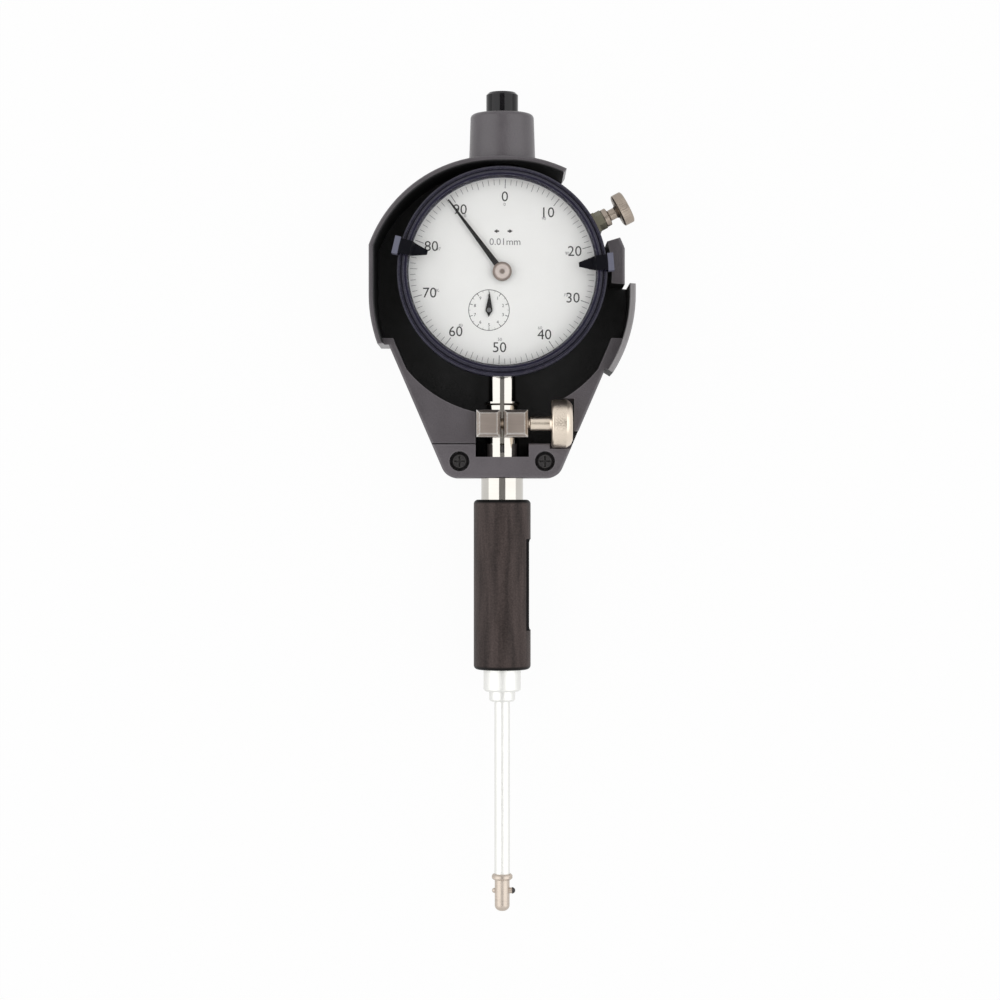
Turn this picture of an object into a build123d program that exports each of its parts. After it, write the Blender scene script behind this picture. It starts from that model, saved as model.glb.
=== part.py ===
from build123d import *
import math
import os

# Dial bore gauge for small holes, lying on the back of its guard with the dial up.
# X is to the right of the dial, Y runs along the gauge towards the spindle cap, Z is up out of the dial.
# The origin is on the dial axis, in the plane that the guard rests on. Sizes are millimetres.

# Fits
FIT = 0.02  # radial gap of a fixed fit
RUN = 0.05  # radial gap of a running fit
TOUCH = 0.02  # gap between pieces that touch end to end

# Guard: a moulded tub with a band round it, and a bar that clamps it to the tube
FLOOR_T = 2.4
FLOOR_GAP = 0.6  # guard floor to the indicator's back
BAND_T = 1.6
BAND_STEP = 2.7  # how far the tub is set in from the band's outside
BAND_DROP = 3.7  # bezel front down to the band's top
BAND_EDGE = 0.5
TUB_WALL = 1.8
TUB_EDGE = 0.7
SKIN_T = 2.0
BAR_SKIN = 1.0  # bar above the tube
BEZEL_GAP = 1.55  # guard to bezel at the top
FINGER_GAP = 6.2  # guard to bezel at the sides
SHOULDER_FLAT = 1.8  # half the straight top between the shoulders
SHOULDER_Y = 7.4  # where the shoulder meets the straight side
SIDE_R = 40.0
SIDE_Y = -6.0
FOOT_HALF = 15.3  # half the apron's width at its foot, at the sharp corners
BAND_END = 32.2  # degrees round the lower side arc
LEFT_BAND_Y = -19.5
RECESS_R = 33.7
RECESS_Y = -5.0
GUARD_FOOT_Y = -56.0
FOOT_FILLET = 4.5
BAR_H = 9.6
BAR_EDGE = 0.7
BAR_GAP = 0.1  # seam round the bar
WINDOW_W = 14.6
WINDOW_LAP = 3.8  # window into the bar
NOTCH_LOW, NOTCH_MID, NOTCH_HIGH = -5.0, 17.0, 58.0  # degrees, access to the bezel
NOTCH_INSET = 1.0
BOSS_R, BOSS_TIP_R = 9.2, 8.7
BOSS_TOP = 44.3
BOSS_FILLET = 1.2
BOSS_BORE_GAP = 0.7
BAR_SCREW_X = 11.7
BAR_SCREW_DROP = 5.0  # below the bar's upper edge
BAR_SCREW_R, BAR_SCREW_L = 1.5, 9.0
BAR_HEAD_R, BAR_HEAD_H = 2.4, 1.9
BAR_SINK = 0.5  # head below the bar's face
HEAD_GAP = 0.35

# Dial indicator
BEZEL_R = 28.5
BEZEL_FACE = 3.1  # width of the bezel's front
SKIRT_T = 1.4
SKIRT_LAP = 4.4
CASE_WALL = 2.5
AXIS_DEPTH = 9.5  # case back to the spindle's axis
BACK_T = 1.2
BACK_STEP = 1.0
LUG_R, LUG_INSET = 2.3, 1.6
BACK_SCREW_R, BACK_SCREW_L = 0.8, 4.0
BACK_HEAD_R, BACK_HEAD_H = 1.5, 0.7
LEDGE_W, LEDGE_T = 2.6, 1.1
SPINDLE_R = 2.4
SPINDLE_TOP = 36.0
STEM_R = 4.0
STEM_END = -47.0
STEM_CHAMFER = 0.5
SPINDLE_OUT = 3.0  # spindle past the stem
POINT_R, POINT_L, POINT_BALL = 2.2, 7.6, 1.5
BUSH_R, BUSH_L = 3.6, 8.0
CAP_R, CAP_TOP = 4.4, 50.3
CAP_WALL, CAP_CHAMFER = 1.4, 0.7
PLATE_T = 1.0
PLATE_GAP = 0.3
PILLAR_R = 1.3
PILLAR_INSET = 5.95
PILLAR_ANGLES = (100, 160, 335)
PLATE_HEAD_R, PLATE_HEAD_H = 1.7, 0.6
DIAL_T = 0.5
DIAL_FOOT_R, DIAL_FOOT_INSET = 0.8, 3.6
SCALE_W = 7.8  # width of the turning scale in the dial opening
DIAL_SPLIT = 0.1
DIAL_LAP, DIAL_LAP_T = 0.6, 0.2  # ledge of the fixed centre under the scale
HAND_ROOM = 1.9
CRYSTAL_T = 1.2
CRYSTAL_LAP = 1.0
RING_T = 0.55
LIP_H = 1.5
LIP_LAND = 0.5
BEAD_W, BEAD_DROP = 0.8, 1.7
GROOVE_W, GROOVE_D = 0.6, 0.5

# Movement
WHEEL_ROOM = 3.35  # take-up wheel to the case's bore
WHEEL_TEETH, PINION_TEETH = 100, 10
RACK_PITCH, RACK_TEETH = 0.625, 24
RACK_PINION_TEETH = 16
RACK_DEPTH = 0.4  # rack pitch line under the spindle's surface
PRESSURE = math.radians(20)
BACKLASH = 0.14  # share of a tooth
WHEEL_T = 0.6
WHEEL_GAP = 1.4  # rear plate to the wheels
FRONT_GAP = 2.0  # wheels to the front plate
ARBOR_R = 0.6
COLLAR_R = 1.6
RACK_PINION_W = 3.2
TAKEUP_ANGLE = 30.0  # degrees, place of the hairspring wheel round the centre
HAIRSPRING_IN, HAIRSPRING_OUT = 1.4, 5.6
HAIRSPRING_TURNS, HAIRSPRING_T, HAIRSPRING_H = 4, 0.16, 0.7
STUD_R = 0.7
PIN_R, PIN_L, PIN_Y = 0.8, 6.0, 13.0
POST_Y = -12.0
SPRING_DROP = 4.9  # return spring behind the spindle's axis
SPRING_R, SPRING_WIRE, SPRING_TURNS = 0.9, 0.18, 9

# Hands
HAND_SHORT, HAND_ROOT_W, HAND_TIP_W, HAND_T = 1.0, 1.6, 0.4, 0.25
HAND_ANGLE = 126.9  # degrees from +X
HUB_R, HUB_H = 2.6, 0.5
COUNT_REACH, COUNT_TAIL, COUNT_W, COUNT_T = 5.0, 1.9, 1.9, 0.2
COUNT_ANGLE = 88.0
LIMIT_ANGLES = {"left": 166.5, "right": 4.5}  # degrees from +X
LIMIT_REACH, LIMIT_TIP_W, LIMIT_ROOT_W = 4.6, 1.2, 4.0
LIMIT_T = 0.55
LIMIT_LIFT = 0.4
TAB_W, TAB_T = 4.8, 1.6

# Bezel clamp
BLOCK_ANGLE = 28.0
BLOCK_W, BLOCK_OUT = 5.4, 0.9
BLOCK_FOOT_H, BLOCK_UP = 5.4, 4.6
BLOCK_GAP = 0.2
LOCK_LIFT = 2.2
LOCK_SHAFT_R = 1.0
LOCK_BUSH_R, LOCK_BUSH_L = 2.7, 1.9
LOCK_FLANGE_R, LOCK_FLANGE_L = 2.5, 1.5
LOCK_NECK_R, LOCK_NECK_L = 1.5, 2.8
LOCK_HEAD_R, LOCK_HEAD_L = 4.5, 3.1

# Tube, clamp and grip
TUBE_R = 4.6
TUBE_TOP = -35.0
TUBE_RIM_R, TUBE_RIM_H = 5.0, 1.0
BODY_R = 5.8
ROD_BORE_R = 3.0
SLOT_W, SLOT_L = 1.2, 14.0
COLLAR_H = 7.4
COLLAR_Y = -41.1
COLLAR_W = 14.0
COLLAR_WALL = 1.6
EAR_GAP = 1.0
EAR_REACH = 9.9  # front of the ears from the axis
EAR_CHAMFER = 0.8
SCREW_LIFT = 7.2  # clamp screw from the axis
SCREW_R = 1.5
NECK_R, NECK_L, NECK_GAP = 2.0, 6.0, 0.5
HEAD_R, HEAD_L, HEAD_DOME = 6.6, 5.7, 1.6
THUMB_ROOM = 0.5
THUMB_OUT = 2.0  # below the screw's axis, where the room opens through the apron's side
GRIP_R = 7.85
GRIP_TOP, GRIP_L = -61.9, 46.8
GRIP_FILLET = 1.2
LABEL_L, LABEL_W, LABEL_D = 25.0, 5.2, 0.5
END_R, END_L = 5.15, 6.0
END_TIP_R, END_TIP_L = 3.6, 2.8
END_CHAMFER = 0.5
END_SPIGOT = 8.0

# Probe
PROBE_R, PROBE_BORE_R = 2.15, 1.15
PROBE_L = 47.6
SPIGOT_R, SPIGOT_CLEAR = 1.7, 0.5
RING_R, RING_L = 2.85, 1.6
HEAD_BODY_R, HEAD_BODY_L = 2.05, 5.6
TIP_DROP = 3.0  # measuring line below the top of the head
PLUG_L, PLUG_SPIGOT_R, PLUG_SPIGOT_L = 3.0, 1.3, 1.0
NOSE_R = 1.6  # rounding of the plug's end
ROD_R = 0.9
ROD_BUTTON_R, ROD_BUTTON_L = 2.8, 4.0
GUIDE_L, GUIDE_DROP = 4.0, 6.0
ROD_SPRING_L, ROD_SPRING_R, ROD_WIRE, ROD_TURNS = 10.0, 2.1, 0.3, 7
ROD_COLLAR_R, ROD_COLLAR_L = 2.7, 2.0
CONTACT_R, CONTACT_REACH = 0.7, 2.8
ANVIL_R, ANVIL_REACH, ANVIL_ROOT = 0.8, 3.6, 1.6
TIP_BALL_R = 0.7
ANVIL_BALL_R = 0.9

# Levels up from the rest plane
CASE_Z = FLOOR_T + FLOOR_GAP
AXIS_Z = CASE_Z + AXIS_DEPTH
REAR_PLATE_Z = AXIS_Z + SPINDLE_R + PLATE_GAP
WHEEL_Z = REAR_PLATE_Z + PLATE_T + WHEEL_GAP
FRONT_PLATE_Z = WHEEL_Z + WHEEL_T + FRONT_GAP
DIAL_FOOT_H = PLATE_HEAD_H + DIAL_LAP_T + 2 * RUN
DIAL_Z = FRONT_PLATE_Z + PLATE_T + DIAL_FOOT_H
DIAL_TOP = DIAL_Z + DIAL_T
CASE_TOP = DIAL_Z - 2 * RUN
CRYSTAL_Z = DIAL_TOP + HAND_ROOM
CRYSTAL_TOP = CRYSTAL_Z + CRYSTAL_T
BEZEL_TOP = CRYSTAL_TOP + LIP_H
BEZEL_Z = CASE_TOP - SKIRT_LAP
TUB_TOP = AXIS_Z + TUBE_R + BAR_SKIN
BAND_TOP = BEZEL_TOP - BAND_DROP

# Radii and places that follow from the sizes above
CASE_R = BEZEL_R - SKIRT_T - RUN
CASE_BORE = CASE_R - CASE_WALL
VIEW_R = BEZEL_R - BEZEL_FACE
CAVITY_R = BEZEL_R + BEZEL_GAP
GUARD_TOP_Y = CAVITY_R + BAND_T
BAND_X = BEZEL_R + FINGER_GAP + BAND_T
BAR_TOP_Y = GUARD_FOOT_Y + BAR_H
BAR_SCREW_Y = BAR_TOP_Y - BAR_SCREW_DROP
DIAL_CENTRE_R = VIEW_R - SCALE_W
DIAL_FOOT_RADIUS = DIAL_CENTRE_R - DIAL_FOOT_INSET
PILLAR_RADIUS = CASE_BORE - PILLAR_INSET
HAND_REACH = VIEW_R - HAND_SHORT
LIMIT_TIP_R = VIEW_R - LIMIT_REACH
MODULE = (CASE_BORE - WHEEL_ROOM) / (WHEEL_TEETH + PINION_TEETH / 2 + 1)
CENTRES = MODULE * (WHEEL_TEETH + PINION_TEETH) / 2
RACK_LINE = SPINDLE_R - RACK_DEPTH
RACK_MODULE = RACK_PITCH / math.pi
COUNT_X = -(RACK_LINE + RACK_MODULE * RACK_PINION_TEETH / 2)
COUNT_Y = -math.sqrt(CENTRES**2 - COUNT_X**2)
TAKEUP_X = CENTRES * math.cos(math.radians(TAKEUP_ANGLE))
TAKEUP_Y = CENTRES * math.sin(math.radians(TAKEUP_ANGLE))
POINT_Y = STEM_END - SPINDLE_OUT
BUTTON_Y = POINT_Y - POINT_L - TOUCH
SCREW_Z = AXIS_Z + SCREW_LIFT
GRIP_FOOT = GRIP_TOP - GRIP_L
PROBE_TOP = GRIP_FOOT - END_L - END_TIP_L
RING_Y = PROBE_TOP - PROBE_L
HEAD_Y = RING_Y - RING_L
TIP_Y = HEAD_Y - TIP_DROP
SPIGOT_L = TIP_DROP - ANVIL_R - SPIGOT_CLEAR
HEAD_FOOT = HEAD_Y - HEAD_BODY_L
GUIDE_Y = BUTTON_Y - ROD_BUTTON_L - GUIDE_DROP
ROD_COLLAR_Y = GUIDE_Y - GUIDE_L - ROD_SPRING_L
FAR = 60.0  # past every edge of the guard


# Ways of making a piece


def turned_y(*points):
    """A piece turned about the gauge axis, from (radius, y) points."""
    return Pos(0, 0, AXIS_Z) * revolve(make_face(Polyline(*points, close=True)), Axis.Y)


def turned_z(*points, at=(0, 0)):
    """A piece turned about an axis along Z, from (radius, z) points."""
    section = Plane.XZ * make_face(Polyline(*points, close=True))
    return Pos(at[0], at[1], 0) * revolve(section, Axis.Z)


def turned_x(*points, y=0, z=0):
    """A piece turned about an axis along X, from (x, radius) points."""
    return Pos(0, y, z) * revolve(make_face(Polyline(*points, close=True)), Axis.X)


def disc(radius, z_low, z_high, at=(0, 0)):
    """A plain cylinder along Z."""
    return turned_z((0, z_low), (radius, z_low), (radius, z_high), (0, z_high), at=at)


def rod_y(radius, y_low, y_high):
    """A plain cylinder along the gauge axis."""
    return turned_y((0, y_low), (radius, y_low), (radius, y_high), (0, y_high))


def slab(face, z_low, z_high):
    """A flat shape drawn out between two heights."""
    return Pos(0, 0, z_low) * extrude(face, z_high - z_low)


def rounded_top(piece, radius):
    """The piece with the edges of its highest faces rounded."""
    return fillet(piece.faces().filter_by(Axis.Z).group_by(Axis.Z)[-1].edges(), radius)


def block(x_low, x_high, y_low, y_high, z_low, z_high):
    """A box between two corners."""
    size = (x_high - x_low, y_high - y_low, z_high - z_low)
    return Pos((x_low + x_high) / 2, (y_low + y_high) / 2, (z_low + z_high) / 2) * Box(*size)


def sector(low, high):
    """A flat wedge of space between two angles round the dial."""
    edge = [polar(2 * FAR, angle) for angle in (low, (low + high) / 2, high)]
    return make_face(Polyline((0, 0), *edge, close=True))


def polar(radius, angle, centre=(0, 0)):
    """The point at a radius and an angle in degrees."""
    turn = math.radians(angle)
    return (centre[0] + radius * math.cos(turn), centre[1] + radius * math.sin(turn))


def gear(teeth, module, width, phase, flank_steps):
    """A spur gear with involute teeth, thinned by the backlash, standing on z = 0."""
    pitch_r = module * teeth / 2
    base_r = pitch_r * math.cos(PRESSURE)
    root_r, tip_r = pitch_r - 1.25 * module, pitch_r + module
    thickness = math.pi * module / 2 * (1 - BACKLASH)

    def half_angle(radius):
        lean = math.acos(min(1.0, base_r / radius))
        return thickness / (2 * pitch_r) + math.tan(PRESSURE) - PRESSURE - (math.tan(lean) - lean)

    foot_r = max(root_r, base_r)
    flank = [root_r] + [foot_r + (tip_r - foot_r) * k / flank_steps for k in range(1, flank_steps + 1)]
    points = []
    for tooth in range(teeth):
        middle = phase + 2 * math.pi * tooth / teeth
        points += [(r, middle - half_angle(max(r, base_r))) for r in flank]
        points += [(r, middle + half_angle(max(r, base_r))) for r in reversed(flank)]
    outline = Polyline(*[(r * math.cos(a), r * math.sin(a)) for r, a in points], close=True)
    return extrude(make_face(outline), width)


def coil(radius, wire, turns, length):
    """A coil spring along Y that stands on y = 0, of six-sided wire."""
    path = Helix(length / turns, length, radius)
    section = Plane(path @ 0, z_dir=path % 0) * RegularPolygon(wire, 6)
    return Rot(-90, 0, 0) * sweep(section, path, is_frenet=True)


# Guard


def shoulder_radius():
    """The radius of the shoulder's arc, which runs on from the guard's straight top to its straight side."""
    reach_x, reach_y = BAND_X - SHOULDER_FLAT, GUARD_TOP_Y - SHOULDER_Y
    return (reach_x**2 + reach_y**2) / (2 * reach_y)


def apron_slope():
    """The lean of the apron's sides, which run on from the side arcs, in degrees."""
    reach_x, reach_y = FOOT_HALF - (BAND_X - SIDE_R), SIDE_Y - GUARD_FOOT_Y
    swing = math.acos((SIDE_R - BAND_STEP) / math.hypot(reach_x, reach_y))
    return math.degrees(math.atan2(reach_y, reach_x) - swing)


def guard_outline(inset):
    """The guard's outline down to the ends of its band, set in by a distance."""
    radius = shoulder_radius() - inset
    top_y = GUARD_TOP_Y - inset
    stop = math.degrees(math.acos((BAND_X - inset - SHOULDER_FLAT) / radius))
    top = Line((-SHOULDER_FLAT, top_y), (SHOULDER_FLAT, top_y))
    shoulder = CenterArc((SHOULDER_FLAT, top_y - radius), radius, 90, stop - 90)
    side = CenterArc((BAND_X - SIDE_R, SIDE_Y), SIDE_R - inset, 0, -BAND_END)
    meet_y = SIDE_Y + (BAND_X - SIDE_R) * math.tan(math.radians(BAND_END))
    right = [shoulder, Line(shoulder @ 1, side @ 0), side, Line(side @ 1, (0, meet_y))]
    return make_face([top] + right + [mirror(edge, Plane.YZ) for edge in right])


def apron(inset):
    """The part of the guard's outline that narrows to its foot."""
    slope = apron_slope()
    corner = polar(SIDE_R - BAND_STEP - inset, -slope, (BAND_X - SIDE_R, SIDE_Y))
    foot_x = corner[0] - (corner[1] - GUARD_FOOT_Y) * math.tan(math.radians(slope))
    points = [(0, 0), (-corner[0], corner[1]), (-foot_x, GUARD_FOOT_Y), (foot_x, GUARD_FOOT_Y), corner]
    face = make_face(Polyline(*points, close=True))
    return fillet(face.vertices().sort_by(Axis.Y)[:2], FOOT_FILLET)


def tub_face(inset=0):
    """The tub's whole outline."""
    return guard_outline(BAND_STEP + inset) + apron(inset)


def below(y):
    """Everything on the foot side of a line across the gauge."""
    return Pos(0, y - FAR) * Rectangle(4 * FAR, 2 * FAR)


def thumb_room():
    """The space that the clamp screw's head turns in, open to the side in its lower part."""
    start = COLLAR_W / 2 + NECK_GAP + NECK_L - THUMB_ROOM
    end = start + HEAD_L + 2 * THUMB_ROOM
    radius = HEAD_R + THUMB_ROOM
    room = turned_x((start, 0), (end, 0), (end, radius), (start, radius), y=COLLAR_Y, z=SCREW_Z)
    way_out = turned_x((start, 0), (FAR, 0), (FAR, radius), (start, radius), y=COLLAR_Y, z=SCREW_Z)
    return room + (way_out & slab(below(COLLAR_Y - THUMB_OUT), 0, FAR))


def bar_screw_places():
    """The centres of the two bar screws."""
    return [(-BAR_SCREW_X, BAR_SCREW_Y), (BAR_SCREW_X, BAR_SCREW_Y)]


def left_side():
    """Everything to the left of the gauge axis."""
    return Pos(-2 * FAR, 0) * Rectangle(4 * FAR, 4 * FAR)


def guard_band(face, z_low, z_high):
    """A height of the band, less the access notch and the short left end."""
    left_end = below(LEFT_BAND_Y) & left_side()
    return slab(face - sector(NOTCH_LOW, NOTCH_HIGH) - left_end, z_low, z_high)


def guard_shell():
    shell = rounded_top(slab(tub_face(), 0, TUB_TOP), TUB_EDGE)
    shell -= slab(sector(NOTCH_MID, NOTCH_HIGH) - Circle(BEZEL_R - NOTCH_INSET), -1, FAR)
    shell += guard_band(guard_outline(0) - guard_outline(BAND_STEP + TUB_WALL), 0, TUB_TOP)
    shell += rounded_top(guard_band(guard_outline(0) - guard_outline(BAND_T), TUB_TOP, BAND_TOP), BAND_EDGE)
    boss = turned_y((0, CAVITY_R - 1), (BOSS_R, CAVITY_R - 1), (BOSS_TIP_R, BOSS_TOP), (0, BOSS_TOP))
    shell += fillet(boss.edges().sort_by(Axis.Y)[-1], BOSS_FILLET)
    notch = sector(NOTCH_LOW, NOTCH_HIGH)
    inside = tub_face(TUB_WALL) - below(BAR_TOP_Y) - notch
    shell -= slab(inside, FLOOR_T, TUB_TOP - SKIN_T)
    recess = (Pos(0, RECESS_Y) * Circle(RECESS_R)) & inside
    window_foot = BAR_TOP_Y - WINDOW_LAP
    window_l = RECESS_Y - RECESS_R / 2 - window_foot
    window = Pos(0, window_foot + window_l / 2) * Rectangle(WINDOW_W, window_l)
    shell -= slab(recess + window, FLOOR_T, FAR)
    shell -= slab(guard_outline(BAND_T) - below(LEFT_BAND_Y + TUB_WALL) - notch, FLOOR_T, FAR)
    shell -= disc(CAVITY_R - TOUCH, FLOOR_T, FAR)
    thumb_x = COLLAR_W / 2 + NECK_GAP + NECK_L
    neck_room = inside & Pos(thumb_x / 2, RECESS_Y - RECESS_R) * Rectangle(thumb_x, RECESS_R)
    shell -= slab(neck_room, TUB_TOP - SKIN_T, FAR)
    shell -= thumb_room()
    shell -= slab(below(BAR_TOP_Y), AXIS_Z - BAR_GAP, FAR)
    shell -= rod_y(TUBE_R + FIT, GUARD_FOOT_Y - 1, RECESS_Y)
    shell -= rod_y(CAP_R + BOSS_BORE_GAP, 0, BOSS_TOP + 1)
    for place in bar_screw_places():
        shell -= disc(BAR_SCREW_R + FIT, TUB_TOP - BAR_SINK - BAR_HEAD_H - BAR_SCREW_L - 1, FAR, place)
    return shell


def guard_bar():
    face = tub_face() & below(BAR_TOP_Y - BAR_GAP)
    bar = rounded_top(slab(face, AXIS_Z + BAR_GAP, TUB_TOP), BAR_EDGE)
    window_foot = BAR_TOP_Y - WINDOW_LAP
    bar -= block(-WINDOW_W / 2, WINDOW_W / 2, window_foot, 0, 0, FAR)
    bar -= rod_y(TUBE_R + FIT, GUARD_FOOT_Y - 1, 0)
    bar -= thumb_room()
    for place in bar_screw_places():
        bar -= disc(BAR_SCREW_R + FIT, 0, FAR, place)
        bar -= disc(BAR_HEAD_R + HEAD_GAP, TUB_TOP - BAR_SINK - BAR_HEAD_H, FAR, place)
    return bar


def pan_screw(place, seat_z, head_r, head_h, shank_r, shank_l):
    """A round-headed screw, driven down along Z."""
    top = seat_z + head_h
    edge = head_h / 3
    return turned_z(
        (0, seat_z - shank_l), (shank_r, seat_z - shank_l), (shank_r, seat_z), (head_r, seat_z),
        (head_r, top - edge), (head_r - edge, top), (0, top), at=place,
    )


def guard_screws():
    seat = TUB_TOP - BAR_SINK - BAR_HEAD_H
    sizes = (BAR_HEAD_R, BAR_HEAD_H, BAR_SCREW_R, BAR_SCREW_L)
    slot = BAR_HEAD_R / 4
    screws = []
    for place in bar_screw_places():
        screw = pan_screw(place, seat, *sizes)
        for turn in (0, 90):
            cross = Box(1.3 * BAR_HEAD_R, slot, BAR_HEAD_H)
            screw -= Pos(place[0], place[1], seat + BAR_HEAD_H) * Rot(0, 0, turn) * cross
        screws.append(screw)
    return Compound(screws)


# Tube, clamp and grip


def main_tube():
    shoulder = GUARD_FOOT_Y - TOUCH
    foot = GRIP_FOOT
    socket = STEM_END - SPINDLE_OUT
    tube = turned_y(
        (STEM_R + FIT, TUBE_TOP), (TUBE_RIM_R, TUBE_TOP), (TUBE_RIM_R, TUBE_TOP - TUBE_RIM_H / 2),
        (TUBE_R, TUBE_TOP - TUBE_RIM_H), (TUBE_R, shoulder), (BODY_R, shoulder), (BODY_R, foot),
        (ROD_BORE_R, foot), (ROD_BORE_R, socket), (STEM_R + FIT, socket),
    )
    slot = block(-SLOT_W / 2, SLOT_W / 2, TUBE_TOP - SLOT_L, TUBE_TOP + 1, AXIS_Z - FAR, AXIS_Z + FAR)
    return tube - slot


def clamp_collar():
    low, high = COLLAR_Y - COLLAR_H / 2, COLLAR_Y + COLLAR_H / 2
    collar = rod_y(TUBE_R + COLLAR_WALL, low, high)
    ears = block(-COLLAR_W / 2, COLLAR_W / 2, low, high, AXIS_Z, AXIS_Z + EAR_REACH)
    ears -= block(-EAR_GAP / 2, EAR_GAP / 2, low - 1, high + 1, AXIS_Z - 1, FAR)
    front = ears.faces().filter_by(Axis.Z).group_by(Axis.Z)[-1]
    ears = chamfer(front.edges(), EAR_CHAMFER)
    collar += ears
    collar -= block(-EAR_GAP / 2, EAR_GAP / 2, low - 1, high + 1, AXIS_Z, FAR)
    collar -= rod_y(TUBE_R + FIT, low - 1, high + 1)
    reach = COLLAR_W
    bore = SCREW_R + RUN
    return collar - turned_x((-reach, 0), (reach, 0), (reach, bore), (-reach, bore), y=COLLAR_Y, z=SCREW_Z)


def clamp_screw():
    start = -COLLAR_W / 2
    neck = COLLAR_W / 2 + NECK_GAP
    head = neck + NECK_L
    tip = head + HEAD_L
    cone = (NECK_R - SCREW_R) / 2
    return turned_x(
        (start, 0), (start, SCREW_R), (neck, SCREW_R), (neck + cone, NECK_R), (head, NECK_R),
        (head, HEAD_R - HEAD_DOME / 4), (head + HEAD_DOME / 4, HEAD_R), (tip - HEAD_DOME, HEAD_R),
        (tip, HEAD_R - HEAD_DOME), (tip, 0), y=COLLAR_Y, z=SCREW_Z,
    )


def grip():
    sleeve = turned_y((BODY_R + FIT, GRIP_FOOT), (GRIP_R, GRIP_FOOT), (GRIP_R, GRIP_TOP), (BODY_R + FIT, GRIP_TOP))
    rims = sleeve.edges().filter_by(GeomType.CIRCLE).sort_by(SortBy.RADIUS)[-2:]
    sleeve = fillet(rims, GRIP_FILLET)
    middle = (GRIP_TOP + GRIP_FOOT) / 2
    panel = RectangleRounded(LABEL_L, LABEL_W, LABEL_W / 4)
    cut = Plane((GRIP_R - LABEL_D, middle, AXIS_Z), x_dir=(0, 1, 0), z_dir=(1, 0, 0)) * panel
    return sleeve - extrude(cut, GRIP_R)


def end_collar():
    top = GRIP_FOOT + END_SPIGOT
    step = GRIP_FOOT - END_L
    bore = PROBE_R + FIT
    return turned_y(
        (bore, top), (ROD_BORE_R - FIT, top), (ROD_BORE_R - FIT, GRIP_FOOT - TOUCH), (END_R, GRIP_FOOT - TOUCH),
        (END_R, step + END_CHAMFER), (END_R - END_CHAMFER, step), (END_TIP_R, step),
        (END_TIP_R, PROBE_TOP + END_CHAMFER), (END_TIP_R - END_CHAMFER, PROBE_TOP), (bore, PROBE_TOP),
    )


# Probe


def probe_tube():
    top = GRIP_FOOT + END_SPIGOT
    shoulder = HEAD_Y + TOUCH
    foot = HEAD_Y - SPIGOT_L
    return turned_y(
        (PROBE_BORE_R, top), (PROBE_R, top), (PROBE_R, shoulder), (SPIGOT_R, shoulder), (SPIGOT_R, foot),
        (PROBE_BORE_R, foot),
    )


def head_ring():
    edge = RING_L / 4
    return turned_y(
        (PROBE_R + FIT, RING_Y), (RING_R - edge, RING_Y), (RING_R, RING_Y - edge), (RING_R, HEAD_Y + edge),
        (RING_R - edge, HEAD_Y + TOUCH), (PROBE_R + FIT, HEAD_Y + TOUCH),
    )


def measuring_head():
    head = rod_y(HEAD_BODY_R, HEAD_FOOT, HEAD_Y)
    head -= rod_y(SPIGOT_R + FIT, HEAD_Y - SPIGOT_L - TOUCH, HEAD_Y + 1)
    head -= rod_y(ROD_R + RUN, HEAD_FOOT, HEAD_Y)
    head -= rod_y(PLUG_SPIGOT_R + FIT, HEAD_FOOT - 1, HEAD_FOOT + PLUG_SPIGOT_L + TOUCH)
    reach = HEAD_BODY_R + 1
    for side, radius in ((-1, CONTACT_R + RUN), (1, ANVIL_R + FIT)):
        bore = turned_x((0, 0), (side * reach, 0), (side * reach, radius), (0, radius), y=TIP_Y, z=AXIS_Z)
        head -= bore
    return head


def head_plug():
    top = HEAD_FOOT - TOUCH
    foot = HEAD_FOOT - PLUG_L
    spigot = HEAD_FOOT + PLUG_SPIGOT_L
    plug = turned_y(
        (0, spigot), (PLUG_SPIGOT_R, spigot), (PLUG_SPIGOT_R, top), (HEAD_BODY_R, top), (HEAD_BODY_R, foot), (0, foot)
    )
    return fillet(plug.edges().sort_by(Axis.Y)[0], NOSE_R)


def wedge_cut(side):
    """Half of the space at the 45 degree faces where the contact lifts the rod."""
    gap = TOUCH / math.sqrt(2)
    size = 4 * HEAD_BODY_R
    return Pos(0, TIP_Y, AXIS_Z) * Rot(0, 0, 45) * Pos(side * (size / 2 + gap), 0, 0) * Box(size, size, size)


def contact():
    start = -(CONTACT_REACH - TIP_BALL_R)
    pin = turned_x((start, 0), (start, CONTACT_R), (2 * CONTACT_R, CONTACT_R), (2 * CONTACT_R, 0), y=TIP_Y, z=AXIS_Z)
    return pin & wedge_cut(-1)


def tip_ball(reach, radius, side):
    """A hard tip: the outer half of a ball that reaches a distance from the gauge axis."""
    x = side * (reach - radius + TOUCH)
    ball = Pos(x, TIP_Y, AXIS_Z) * Sphere(radius)
    return ball & Pos(x + side * radius, TIP_Y, AXIS_Z) * Box(2 * radius, 3 * radius, 3 * radius)


def anvil():
    end = ANVIL_REACH - ANVIL_BALL_R
    waist = end - (ANVIL_BALL_R - ANVIL_R)
    return turned_x(
        (ANVIL_ROOT, 0), (ANVIL_ROOT, ANVIL_R), (waist, ANVIL_R), (end, ANVIL_BALL_R), (end, 0), y=TIP_Y, z=AXIS_Z
    )


def push_rod():
    rod = rod_y(ROD_R, TIP_Y - 2 * ROD_R, BUTTON_Y - ROD_BUTTON_L / 2) & (wedge_cut(1) + rod_y(FAR, HEAD_Y, 0))
    button = rod_y(ROD_BUTTON_R, BUTTON_Y - ROD_BUTTON_L, BUTTON_Y)
    return rod + button


def rod_guide():
    foot = GUIDE_Y - GUIDE_L
    return turned_y(
        (ROD_R + RUN, foot), (ROD_BORE_R - FIT, foot), (ROD_BORE_R - FIT, GUIDE_Y), (ROD_R + RUN, GUIDE_Y)
    )


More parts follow.
